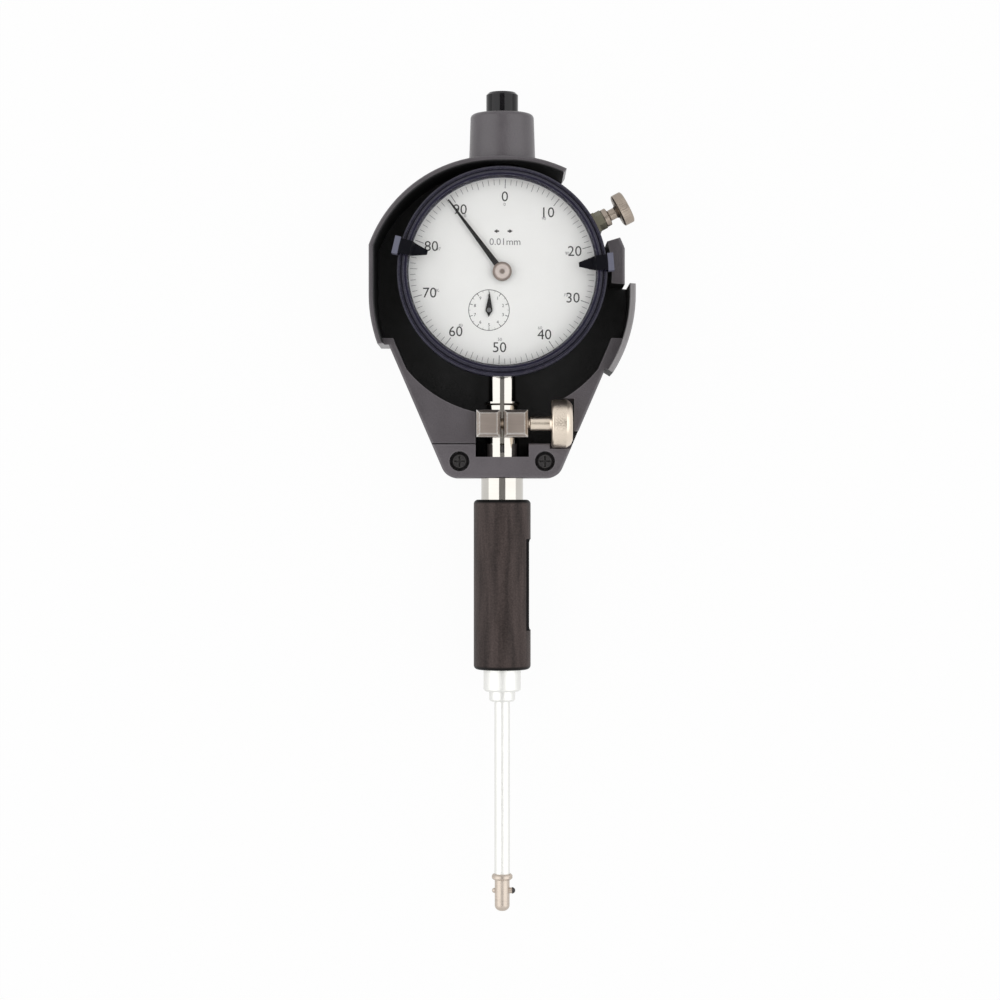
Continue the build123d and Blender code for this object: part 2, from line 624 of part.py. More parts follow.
def rod_collar():
    foot = ROD_COLLAR_Y - ROD_COLLAR_L
    return turned_y(
        (ROD_R + FIT, foot), (ROD_COLLAR_R, foot), (ROD_COLLAR_R, ROD_COLLAR_Y), (ROD_R + FIT, ROD_COLLAR_Y)
    )


def rod_spring():
    length = ROD_SPRING_L - 3 * ROD_WIRE
    return Pos(0, ROD_COLLAR_Y + 1.5 * ROD_WIRE, AXIS_Z) * coil(ROD_SPRING_R, ROD_WIRE, ROD_TURNS, length)


# Indicator case


def lug_places():
    """Where the case back is screwed on."""
    return [polar(CASE_BORE - LUG_INSET, angle) for angle in (45, 135, 225, 315)]


def indicator_case():
    back_seat = CASE_Z + BACK_T
    ledge = CASE_BORE - LEDGE_W
    rebate = CASE_BORE + BACK_STEP
    case = turned_z(
        (rebate, CASE_Z), (CASE_R, CASE_Z), (CASE_R, CASE_TOP), (CASE_BORE, CASE_TOP),
        (CASE_BORE, REAR_PLATE_Z), (ledge, REAR_PLATE_Z), (ledge, REAR_PLATE_Z - LEDGE_T),
        (CASE_BORE, REAR_PLATE_Z - LEDGE_T), (CASE_BORE, back_seat), (rebate, back_seat),
    )
    ring = disc(CASE_R - CASE_WALL / 2, back_seat, REAR_PLATE_Z)
    for place in lug_places():
        case += disc(LUG_R, back_seat, REAR_PLATE_Z - LEDGE_T / 2, place) & ring
        case -= disc(BACK_SCREW_R + FIT, CASE_Z, back_seat + BACK_SCREW_L + 1, place)
    case -= rod_y(SPINDLE_R + 4 * RUN, -CASE_R, CASE_R)
    case -= rod_y(STEM_R + FIT, -FAR, -CASE_BORE + CASE_WALL / 2)
    return case - rod_y(BUSH_R + FIT, CASE_BORE - CASE_WALL / 2, FAR)


def case_back():
    plate = disc(CASE_BORE + BACK_STEP - FIT, CASE_Z, CASE_Z + BACK_T - TOUCH)
    for place in lug_places():
        plate -= disc(BACK_SCREW_R + FIT, 0, FAR, place)
        plate -= disc(BACK_HEAD_R + FIT, 0, CASE_Z + BACK_HEAD_H + TOUCH, place)
    return plate - disc(STUD_R + FIT, 0, FAR, (0, POST_Y))


def back_screws():
    flip = Pos(0, 0, CASE_Z) * Rot(180, 0, 0) * Pos(0, 0, -CASE_Z)
    sizes = (BACK_HEAD_R, BACK_HEAD_H, BACK_SCREW_R, BACK_SCREW_L)
    return Compound([flip * pan_screw(place, CASE_Z - BACK_HEAD_H, *sizes) for place in lug_places()])


def stem():
    top = -CASE_BORE - TOUCH
    bore = SPINDLE_R + RUN
    return turned_y(
        (bore, top), (STEM_R, top), (STEM_R, STEM_END + STEM_CHAMFER), (STEM_R - STEM_CHAMFER, STEM_END),
        (bore, STEM_END),
    )


def upper_bush():
    foot = CASE_BORE + TOUCH
    bore = SPINDLE_R + RUN
    return turned_y((bore, foot), (BUSH_R, foot), (BUSH_R, foot + BUSH_L), (bore, foot + BUSH_L))


def spindle_cap():
    foot = CASE_R + TOUCH
    bush_top = CASE_BORE + BUSH_L + 2 * TOUCH
    wide, bore = BUSH_R + FIT, CAP_R - CAP_WALL
    roof = CAP_TOP - CAP_WALL
    return turned_y(
        (wide, foot), (CAP_R, foot), (CAP_R, CAP_TOP - CAP_CHAMFER), (CAP_R - CAP_CHAMFER, CAP_TOP),
        (0, CAP_TOP), (0, roof), (bore, roof), (bore, bush_top), (wide, bush_top),
    )


# Spindle


def rack_cut():
    """What is cut from the spindle's left side to leave the rack."""
    tip, root = -(RACK_LINE + RACK_MODULE), -(RACK_LINE - 1.25 * RACK_MODULE)
    half = RACK_PITCH / 4 * (1 - BACKLASH)
    narrow = half - RACK_MODULE * math.tan(PRESSURE)
    broad = half + 1.25 * RACK_MODULE * math.tan(PRESSURE)
    points = []
    for tooth in range(RACK_TEETH):
        y = COUNT_Y + (tooth - RACK_TEETH / 2 + 0.5) * RACK_PITCH
        points += [(root, y - broad), (tip, y - narrow), (tip, y + narrow), (root, y + broad)]
    outside = -2 * SPINDLE_R
    outline = Polyline((outside, points[0][1]), *points, (outside, points[-1][1]), close=True)
    return slab(make_face(outline), AXIS_Z - 2 * SPINDLE_R, AXIS_Z + 2 * SPINDLE_R)


def spindle():
    bar = rod_y(SPINDLE_R, POINT_Y, SPINDLE_TOP) - rack_cut()
    return bar - disc(PIN_R + FIT, AXIS_Z - FAR, AXIS_Z, (0, PIN_Y))


def contact_point():
    foot = POINT_Y - POINT_L
    neck = foot + POINT_BALL
    body = turned_y(
        (0, neck), (POINT_BALL, neck), (POINT_R, neck + POINT_BALL), (POINT_R, POINT_Y - TOUCH), (0, POINT_Y - TOUCH)
    )
    return body + Pos(0, neck, AXIS_Z) * Sphere(POINT_BALL)


def guide_pin():
    return disc(PIN_R, AXIS_Z - PIN_L, AXIS_Z - TOUCH, (0, PIN_Y))


def spring_post():
    return disc(STUD_R, CASE_Z, AXIS_Z - SPRING_DROP + SPRING_R, (0, POST_Y))


def return_spring():
    start = POST_Y + STUD_R + SPRING_WIRE
    length = PIN_Y - PIN_R - SPRING_WIRE - start
    return Pos(0, start, AXIS_Z - SPRING_DROP) * coil(SPRING_R, SPRING_WIRE, SPRING_TURNS, length)


# Movement


def pillar_places():
    """Where pillars hold the two movement plates apart."""
    return [polar(PILLAR_RADIUS, angle) for angle in PILLAR_ANGLES]


def arbor_places():
    """The centre arbor, the counter arbor and the hairspring arbor."""
    return [(0, 0), (COUNT_X, COUNT_Y), (TAKEUP_X, TAKEUP_Y)]


def movement_plate(radius, z):
    """A plate with bearing holes for the arbors."""
    plate = disc(radius, z, z + PLATE_T)
    for place in arbor_places():
        plate -= disc(ARBOR_R + RUN, 0, FAR, place)
    return plate


def rear_plate():
    return movement_plate(CASE_BORE - FIT, REAR_PLATE_Z + TOUCH)


def front_plate():
    plate = movement_plate(PILLAR_RADIUS + 2 * PILLAR_R, FRONT_PLATE_Z)
    for place in pillar_places():
        plate -= disc(BACK_SCREW_R + FIT, 0, FAR, place)
    return plate - disc(STUD_R + FIT, 0, FAR, stud_place())


def plate_pillars():
    low, high = REAR_PLATE_Z + PLATE_T + 2 * TOUCH, FRONT_PLATE_Z - TOUCH
    bore = BACK_SCREW_R + FIT
    ring = ((bore, low), (PILLAR_R, low), (PILLAR_R, high), (bore, high))
    return Compound([turned_z(*ring, at=place) for place in pillar_places()])


def plate_screws():
    seat = FRONT_PLATE_Z + PLATE_T + TOUCH
    sizes = (PLATE_HEAD_R, PLATE_HEAD_H, BACK_SCREW_R, seat - REAR_PLATE_Z - PLATE_T - 3 * TOUCH)
    return Compound([pan_screw(place, seat, *sizes) for place in pillar_places()])


def shaft(place, z_low, z_high, *collars):
    """A straight arbor with collars, each given by a radius and two heights."""
    arbor = disc(ARBOR_R, z_low, z_high, place)
    for radius, low, high in collars:
        arbor += disc(radius, low, high, place)
    return arbor


def centre_pinion():
    low, high = WHEEL_Z - WHEEL_T, WHEEL_Z + 2 * WHEEL_T
    arbor = shaft((0, 0), REAR_PLATE_Z + PLATE_T / 2, hand_z() + HAND_T / 2)
    phase = math.atan2(COUNT_Y, COUNT_X)
    return arbor + Pos(0, 0, low) * gear(PINION_TEETH, MODULE, high - low, phase, 3)


def wheel(place, from_centre):
    """A large wheel in mesh with the centre pinion, on the arbor at a place."""
    phase = from_centre + math.pi + math.pi / WHEEL_TEETH
    body = gear(WHEEL_TEETH, MODULE, WHEEL_T, phase, 1)
    pitch_r = MODULE * WHEEL_TEETH / 2
    for turn in range(4):
        body -= extrude(Pos(polar(pitch_r / 2, 45 + 90 * turn)) * Circle(pitch_r / 4), WHEEL_T)
    body -= extrude(Circle(ARBOR_R + FIT), WHEEL_T)
    return Pos(place[0], place[1], WHEEL_Z) * body


def counter_wheel():
    return wheel((COUNT_X, COUNT_Y), math.atan2(COUNT_Y, COUNT_X))


def counter_arbor():
    place = (COUNT_X, COUNT_Y)
    seat = (COLLAR_R, REAR_PLATE_Z + PLATE_T + 4 * TOUCH, WHEEL_Z - TOUCH)
    pinion_z = AXIS_Z - RACK_PINION_W / 2
    arbor = shaft(place, pinion_z, count_z() + COUNT_T / 2, seat)
    pinion = gear(RACK_PINION_TEETH, RACK_MODULE, RACK_PINION_W, 0, 4)
    return arbor + Pos(place[0], place[1], pinion_z) * pinion


def takeup_wheel():
    return wheel((TAKEUP_X, TAKEUP_Y), math.atan2(TAKEUP_Y, TAKEUP_X))


def takeup_arbor():
    low = (COLLAR_R, REAR_PLATE_Z + PLATE_T + 4 * TOUCH, WHEEL_Z - TOUCH)
    high = (HAIRSPRING_IN - 2 * HAIRSPRING_T, WHEEL_Z + WHEEL_T + TOUCH, WHEEL_Z + WHEEL_T + HAIRSPRING_H)
    place = (TAKEUP_X, TAKEUP_Y)
    return shaft(place, REAR_PLATE_Z + PLATE_T / 2, FRONT_PLATE_Z + PLATE_T / 2, low, high)


def hairspring_z():
    """The height that the hairspring starts at, clear of its wheel."""
    return WHEEL_Z + WHEEL_T + HAIRSPRING_H / 2


def hairspring_step():
    """How much the hairspring's radius grows in half a turn."""
    return (HAIRSPRING_OUT - HAIRSPRING_IN) / (2 * HAIRSPRING_TURNS)


def stud_place():
    """Where the stud holds the hairspring's outer end, from outside."""
    out = HAIRSPRING_OUT - hairspring_step() / 2 + HAIRSPRING_T / 2 + STUD_R + RUN
    return (TAKEUP_X + out, TAKEUP_Y)


def hairspring():
    step = hairspring_step()

    def run(shift):
        arcs = []
        for half in range(2 * HAIRSPRING_TURNS):
            centre = (step * (half % 2 - 0.5), 0)
            arcs.append(CenterArc(centre, HAIRSPRING_IN + step * half + shift, 180 * (half % 2), 180))
        return arcs

    inner, outer = run(-HAIRSPRING_T / 2), run(HAIRSPRING_T / 2)
    ends = [Line(inner[0] @ 0, outer[0] @ 0), Line(inner[-1] @ 1, outer[-1] @ 1)]
    strip = extrude(make_face([*inner, *outer, *ends]), HAIRSPRING_H)
    return Pos(TAKEUP_X, TAKEUP_Y, hairspring_z()) * strip


# Dial, hands, bezel


def dial_centre():
    low = DIAL_Z - RUN - DIAL_LAP_T
    ledge = DIAL_CENTRE_R + DIAL_SPLIT + DIAL_LAP
    plate = disc(DIAL_CENTRE_R, low, DIAL_TOP) + disc(ledge, low, DIAL_Z - RUN)
    for angle in PILLAR_ANGLES:
        foot = polar(DIAL_FOOT_RADIUS, angle)
        plate += disc(DIAL_FOOT_R, DIAL_Z - DIAL_FOOT_H + TOUCH, DIAL_TOP, foot)
    plate -= disc(ARBOR_R + 4 * RUN, 0, FAR)
    return plate - disc(ARBOR_R + 4 * RUN, 0, FAR, (COUNT_X, COUNT_Y))


def dial_scale():
    inner = DIAL_CENTRE_R + DIAL_SPLIT
    outer = CASE_R + RUN - FIT
    top = DIAL_TOP - TOUCH
    return turned_z((inner, DIAL_Z), (outer, DIAL_Z), (outer, top), (inner, top))


def hand_z():
    """The underside of the main hand."""
    return DIAL_TOP + HAND_ROOM / 2


def count_z():
    """The underside of the counter hand."""
    return DIAL_TOP + HAND_ROOM / 5


def main_hand():
    root, tip = HAND_ROOT_W / 2, HAND_TIP_W / 2
    start = HUB_R / 2
    blade = make_face(Polyline((start, -root), (HAND_REACH, -tip), (HAND_REACH, tip), (start, root), close=True))
    hand = Pos(0, 0, hand_z()) * Rot(0, 0, HAND_ANGLE) * extrude(blade + Circle(HUB_R), HAND_T)
    return hand - disc(ARBOR_R + FIT, 0, FAR)


def hand_hub():
    low = hand_z() + HAND_T + TOUCH
    edge = HUB_H / 3
    return turned_z(
        (0, low), (HUB_R, low), (HUB_R, low + HUB_H - edge), (HUB_R - edge, low + HUB_H), (0, low + HUB_H)
    )


def counter_hand():
    half = COUNT_W / 2
    drop = make_face(Polyline((-COUNT_TAIL, 0), (0, -half), (COUNT_REACH, 0), (0, half), close=True))
    hand = Rot(0, 0, COUNT_ANGLE) * extrude(drop + Circle(half), COUNT_T)
    return Pos(COUNT_X, COUNT_Y, count_z()) * hand - disc(ARBOR_R + FIT, 0, FAR, (COUNT_X, COUNT_Y))


def crystal():
    return disc(VIEW_R + CRYSTAL_LAP - FIT, CRYSTAL_Z, CRYSTAL_TOP - TOUCH)


def crystal_ring():
    outer, inner = VIEW_R + CRYSTAL_LAP - FIT, VIEW_R
    low, high = CRYSTAL_Z - RING_T, CRYSTAL_Z - TOUCH
    return turned_z((inner, low), (outer, low), (outer, high), (inner, high))


def bezel():
    skirt = CASE_R + RUN
    seat = VIEW_R + CRYSTAL_LAP
    bead_top = BEZEL_TOP - BEAD_DROP
    groove = BEZEL_R - BEAD_W
    lip = groove - GROOVE_W
    return turned_z(
        (skirt, BEZEL_Z), (BEZEL_R - BEAD_W / 2, BEZEL_Z), (BEZEL_R, BEZEL_Z + BEAD_W / 2),
        (BEZEL_R, bead_top - BEAD_W / 2), (BEZEL_R - BEAD_W / 2, bead_top), (groove, bead_top),
        (groove, bead_top - GROOVE_D), (lip, bead_top - GROOVE_D), (lip, BEZEL_TOP - LIP_LAND),
        (lip - LIP_LAND, BEZEL_TOP), (VIEW_R + LIP_LAND, BEZEL_TOP), (VIEW_R, CRYSTAL_TOP + LIP_LAND),
        (VIEW_R, CRYSTAL_TOP), (seat, CRYSTAL_TOP), (seat, DIAL_TOP), (skirt, DIAL_TOP),
    )


def limit_hand(angle):
    """A clip over the bezel's edge with a pointer over the dial."""
    outer = BEZEL_R + RUN * 2
    top = BEZEL_TOP + LIMIT_LIFT
    tip_z = CRYSTAL_TOP + LIMIT_LIFT
    tab_foot = BAND_TOP + LIMIT_LIFT
    side = Polyline(
        (LIMIT_TIP_R, tip_z), (VIEW_R - LIP_LAND, tip_z), (VIEW_R + LIP_LAND, top), (outer, top),
        (outer, tab_foot), (outer + TAB_T, tab_foot), (outer + TAB_T, top + LIMIT_T),
        (VIEW_R, top + LIMIT_T), (VIEW_R - 2 * LIP_LAND, tip_z + LIMIT_T), (LIMIT_TIP_R, tip_z + LIMIT_T),
        close=True,
    )
    body = extrude(Plane.XZ * make_face(side), TAB_W, both=True)
    tip, root, tab = LIMIT_TIP_W / 2, LIMIT_ROOT_W / 2, TAB_W / 2
    pointer = Polyline(
        (LIMIT_TIP_R, -tip), (VIEW_R, -root), (outer, -root), (outer, -tab), (outer + TAB_T, -tab),
        (outer + TAB_T, tab), (outer, tab), (outer, root), (VIEW_R, root), (LIMIT_TIP_R, tip), close=True,
    )
    return Rot(0, 0, angle) * (body & slab(make_face(pointer), 0, FAR))


# Bezel clamp


def block_face():
    """How far the clamp block's outer face is from the dial axis."""
    return BEZEL_R + BLOCK_OUT


def lock_z():
    """The height of the bezel clamp screw."""
    return BEZEL_Z + LOCK_LIFT


def lock_block():
    half = BLOCK_W / 2
    low, high = BEZEL_Z - BLOCK_FOOT_H, BEZEL_Z + BLOCK_UP
    body = block(CASE_R - CASE_WALL, block_face(), -half, half, low, high)
    body -= disc(CASE_R + FIT, 0, FAR)
    body -= disc(BEZEL_R + BLOCK_GAP, BEZEL_Z - BLOCK_GAP, FAR)
    hole = LOCK_SHAFT_R + RUN
    body -= turned_x((0, 0), (FAR, 0), (FAR, hole), (0, hole), z=lock_z())
    return Rot(0, 0, BLOCK_ANGLE) * body


def lock_bush():
    start = block_face() + TOUCH
    face = Plane((start, 0, lock_z()), x_dir=(0, 1, 0), z_dir=(1, 0, 0)) * RegularPolygon(LOCK_BUSH_R, 6)
    body = extrude(face, LOCK_BUSH_L)
    hole = LOCK_SHAFT_R + RUN
    body -= turned_x((0, 0), (FAR, 0), (FAR, hole), (0, hole), z=lock_z())
    return Rot(0, 0, BLOCK_ANGLE) * body


def lock_screw():
    flange = block_face() + LOCK_BUSH_L + 2 * TOUCH
    neck = flange + LOCK_FLANGE_L
    head = neck + LOCK_NECK_L
    tip = head + LOCK_HEAD_L
    edge = LOCK_HEAD_L / 4
    screw = turned_x(
        (BEZEL_R + RUN * 2, 0), (BEZEL_R + RUN * 2, LOCK_SHAFT_R), (flange, LOCK_SHAFT_R), (flange, LOCK_FLANGE_R),
        (neck, LOCK_FLANGE_R), (neck, LOCK_NECK_R), (head - LOCK_NECK_R / 2, LOCK_NECK_R), (head, LOCK_NECK_R * 1.6),
        (head, LOCK_HEAD_R - edge), (head + edge, LOCK_HEAD_R), (tip - edge, LOCK_HEAD_R), (tip, LOCK_HEAD_R - edge),
        (tip, 0), z=lock_z(),
    )
    return Rot(0, 0, BLOCK_ANGLE) * screw


PIECES = {
    "guard_shell": guard_shell,
    "guard_bar": guard_bar,
    "guard_screws": guard_screws,
    "main_tube": main_tube,
    "clamp_collar": clamp_collar,
    "clamp_screw": clamp_screw,
    "grip": grip,
    "end_collar": end_collar,
    "probe_tube": probe_tube,
    "head_ring": head_ring,
    "measuring_head": measuring_head,
    "head_plug": head_plug,
    "contact": contact,
    "contact_tip": lambda: tip_ball(CONTACT_REACH, TIP_BALL_R, -1),
    "anvil": anvil,
    "anvil_tip": lambda: tip_ball(ANVIL_REACH, ANVIL_BALL_R, 1),
    "push_rod": push_rod,
    "rod_guide": rod_guide,
    "rod_collar": rod_collar,
    "rod_spring": rod_spring,
    "indicator_case": indicator_case,
    "case_back": case_back,
    "back_screws": back_screws,
    "stem": stem,
    "upper_bush": upper_bush,
    "spindle_cap": spindle_cap,
    "spindle": spindle,
    "contact_point": contact_point,
    "guide_pin": guide_pin,
    "spring_post": spring_post,
    "return_spring": return_spring,
    "rear_plate": rear_plate,
    "front_plate": front_plate,
    "plate_pillars": plate_pillars,
    "plate_screws": plate_screws,
    "centre_pinion": centre_pinion,
    "counter_wheel": counter_wheel,
    "counter_arbor": counter_arbor,
    "takeup_wheel": takeup_wheel,
    "takeup_arbor": takeup_arbor,
    "hairspring": hairspring,
    "hairspring_stud": lambda: disc(STUD_R, hairspring_z(), FRONT_PLATE_Z + PLATE_T, stud_place()),
    "dial_centre": dial_centre,
    "dial_scale": dial_scale,
    "main_hand": main_hand,
    "hand_hub": hand_hub,
    "counter_hand": counter_hand,
    "crystal": crystal,
    "crystal_ring": crystal_ring,
    "bezel": bezel,
    "limit_hand_left": lambda: limit_hand(LIMIT_ANGLES["left"]),
    "limit_hand_right": lambda: limit_hand(LIMIT_ANGLES["right"]),
    "lock_block": lock_block,
    "lock_bush": lock_bush,
    "lock_screw": lock_screw,
}


def main():
    os.makedirs("parts", exist_ok=True)
    for name, make in PIECES.items():
        export_step(make(), f"parts/{name}.step")


if __name__ == "__main__":
    main()
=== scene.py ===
"""Dial bore gauge: finishes, printed dial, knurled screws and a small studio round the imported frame.

Sizes in the code are millimetres and are turned into metres as pieces are made. X is to the right of the
dial, Y runs along the gauge towards the spindle cap, and Z is up out of the dial.
"""
import math

import bmesh
import bpy
from bpy.props import FloatProperty, FloatVectorProperty, IntProperty, PointerProperty
from mathutils import Matrix, Vector


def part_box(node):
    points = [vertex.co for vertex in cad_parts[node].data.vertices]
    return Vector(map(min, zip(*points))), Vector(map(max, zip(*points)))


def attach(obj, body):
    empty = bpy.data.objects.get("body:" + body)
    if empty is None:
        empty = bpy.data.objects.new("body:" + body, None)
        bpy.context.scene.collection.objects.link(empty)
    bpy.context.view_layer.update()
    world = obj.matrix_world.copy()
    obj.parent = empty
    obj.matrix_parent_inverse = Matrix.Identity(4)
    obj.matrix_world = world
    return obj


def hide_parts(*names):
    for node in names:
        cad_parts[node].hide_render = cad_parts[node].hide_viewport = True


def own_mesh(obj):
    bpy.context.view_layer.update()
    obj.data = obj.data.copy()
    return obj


bl_info = {
    "name": "Dial bore gauge",
    "version": (1, 0, 0),
    "blender": (4, 5, 0),
    "location": "View3D > Sidebar > Gauge",
    "description": "Finishes, dial print, knurled screws and studio for a dial bore gauge",
    "category": "Object",
}

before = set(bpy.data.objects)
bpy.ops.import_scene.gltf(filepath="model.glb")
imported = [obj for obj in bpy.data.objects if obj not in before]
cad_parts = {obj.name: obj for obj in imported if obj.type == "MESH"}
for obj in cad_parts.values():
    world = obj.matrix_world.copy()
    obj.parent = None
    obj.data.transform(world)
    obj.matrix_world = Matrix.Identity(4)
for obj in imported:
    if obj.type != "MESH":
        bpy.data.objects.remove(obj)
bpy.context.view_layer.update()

MM = 0.001
FULL_TURN = 2 * math.pi
SHARP_ANGLE = math.radians(30)  # edges that turn by more than this stay hard
MIX_FIRST, MIX_SECOND, MIX_RESULT = 6, 7, 2  # the colour sockets of a Mix node

# Places that the looks share with the solids
DIAL_AXIS = (0.0, 0.0)
COUNTER_PLACE = (-3.59, -10.40)
CENTRE_FACE_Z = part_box("dial_centre")[1].z / MM
SCALE_FACE_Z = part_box("dial_scale")[1].z / MM
HUB_LOW_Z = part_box("hand_hub")[0].z / MM
HUB_TOP_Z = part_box("hand_hub")[1].z / MM
CLAMP_SCREW_PLACE = (0.0, -41.1, 19.7)
LOCK_SCREW_Z = 19.8
LOCK_SCREW_ANGLE = 28.0  # degrees from +X
GUARD_CENTRE = (0.0, -5.0)
BAND_DROP = 3.7  # how far the band's top is below the bezel's front
BAND_TOP_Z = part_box("bezel")[1].z / MM - BAND_DROP
BAND_RIM = 1.6  # how far down the band's tone goes
BAND_SHEEN_X = 28.0  # the band's top gets a painted highlight beyond this
GRIP_AXIS_Z = 12.5
GRIP_MIDDLE_Y = -85.3
GAUGE_MIDDLE_Y = -62.0  # about half way along the gauge


def linear(red, green, blue):
    """A colour given as 0 to 255 on a screen, as Blender's linear values."""
    shares = (red / 255, green / 255, blue / 255)
    return tuple(s / 12.92 if s <= 0.04045 else ((s + 0.055) / 1.055) ** 2.4 for s in shares)


def colour_prop(name, description, *screen):
    """A colour property whose default is given as 0 to 255."""
    return FloatVectorProperty(
        name=name, description=description, subtype="COLOR", size=3, min=0, max=1, default=linear(*screen)
    )


def length_prop(name, description, millimetres):
    """A length property whose default is given in millimetres."""
    return FloatProperty(
        name=name, description=description, unit="LENGTH", precision=6, default=millimetres * MM
    )


class GAUGE_PG_studio(bpy.types.PropertyGroup):
    """Camera, lamps and floor"""

    camera_place: FloatVectorProperty(
        name="Camera place", description="Where the camera stands, looking straight down",
        subtype="TRANSLATION", size=3, default=(-0.6 * MM, GAUGE_MIDDLE_Y * MM, 700.0 * MM),
    )
    camera_lens: FloatProperty(
        name="Lens", description="Focal length of the camera in millimetres", unit="CAMERA", default=89.7
    )
    lamp_power: FloatProperty(
        name="Lamp power", description="Power of each of the two side lamps", unit="POWER", default=2.6
    )
    fill: FloatProperty(name="Fill", description="Strength of the light from all around", default=0.66)
    floor: colour_prop("Floor", "Pale floor", 238, 238, 238)


class GAUGE_PG_guard(bpy.types.PropertyGroup):
    """Moulded guard, cap and grip"""

    shell: colour_prop("Guard", "Outside of the moulded guard", 82, 77, 81)
    bar: colour_prop("Bar", "Bar at the foot of the guard", 94, 89, 93)
    # painted highlight: the lighter colour put on the band's top and inner wall at the right
    band: colour_prop("Guard band", "Lit right side of the raised band", 140, 137, 138)
    # painted highlight: the lighter colour put on the guard's rounded edges
    edge: colour_prop("Guard edge", "Polished edges of the guard", 122, 119, 122)
    # painted shade: the black put on faces inside the guard, where shade falls
    inside: colour_prop("Guard inside", "Black shading of the guard", 16, 16, 17)
    cap: colour_prop("Cap", "Cap over the spindle", 8, 6, 10)
    grip: colour_prop("Grip", "Moulded grip", 67, 58, 56)
    grip_end: colour_prop("Grip ends", "Smooth ends of the grip and its panel", 8, 7, 8)


class GAUGE_PG_dial(bpy.types.PropertyGroup):
    """Dial, print, hands and bezel"""

    face: colour_prop("Dial", "Matt face of the dial", 236, 236, 234)
    ink: colour_prop("Ink", "Large numerals and arrows", 62, 60, 60)
    fine_ink: colour_prop("Fine ink", "Marks, small numerals and the unit", 128, 126, 128)
    bezel: colour_prop("Bezel", "Enamel of the bezel", 25, 23, 42)
    case: colour_prop("Case", "Enamel of the case", 20, 19, 22)
    hand: colour_prop("Hands", "Main hand and counter hand", 18, 17, 19)
    pointer: colour_prop("Limit pointer", "Pointers of the limit hands", 6, 6, 14)
    tab: colour_prop("Limit tab", "Tabs of the limit hands", 112, 113, 128)
    numeral_height: length_prop("Numeral height", "Height of the scale's numerals", 2.75)
    numeral_radius: length_prop("Numeral radius", "Middle of the numerals from the dial axis", 20.5)
    scale_turn: FloatProperty(
        name="Scale turn", description="How far the scale is turned from straight up", subtype="ANGLE",
        default=math.radians(-2.0),
    )
    divisions: IntProperty(name="Divisions", description="Marks round the scale", default=100)


class GAUGE_PG_metal(bpy.types.PropertyGroup):
    """Metal finishes and knurls"""

    chrome: colour_prop("Chrome", "Polished tube and stem", 200, 197, 191)
    satin: colour_prop("Satin steel", "Clamp collar", 158, 147, 139)
    bright: colour_prop("Bright satin", "Probe tube and its collar", 234, 234, 231)
    nickel: colour_prop("Nickel", "Clamp screw", 232, 219, 203)
    dull: colour_prop("Dull nickel", "Bezel screw", 172, 160, 148)
    bush: colour_prop("Olive steel", "Bush and block of the bezel screw", 124, 121, 106)
    probe: colour_prop("Probe steel", "Measuring head", 206, 194, 182)
    steel: colour_prop("Steel", "Arbors, rods, springs and screws", 150, 150, 152)
    brass: colour_prop("Brass", "Plates and wheels", 205, 172, 102)
    hub: colour_prop("Hub", "Hub of the main hand", 226, 215, 209)
    # painted shade: the darker colour put on the hub's rim and its middle hollow, where dark is reflected
    hub_rim: colour_prop("Hub rim", "Rim and hollow of the hub", 146, 132, 124)
    carbide: colour_prop("Carbide", "Hard tip of the anvil", 62, 60, 60)
    black: colour_prop("Black metal", "Blackened screws", 56, 54, 55)
    knurl_pitch: length_prop("Knurl pitch", "Distance between the grooves of a knurl", 0.9)
    knurl_depth: length_prop("Knurl depth", "Depth of the grooves of a knurl", 0.1)


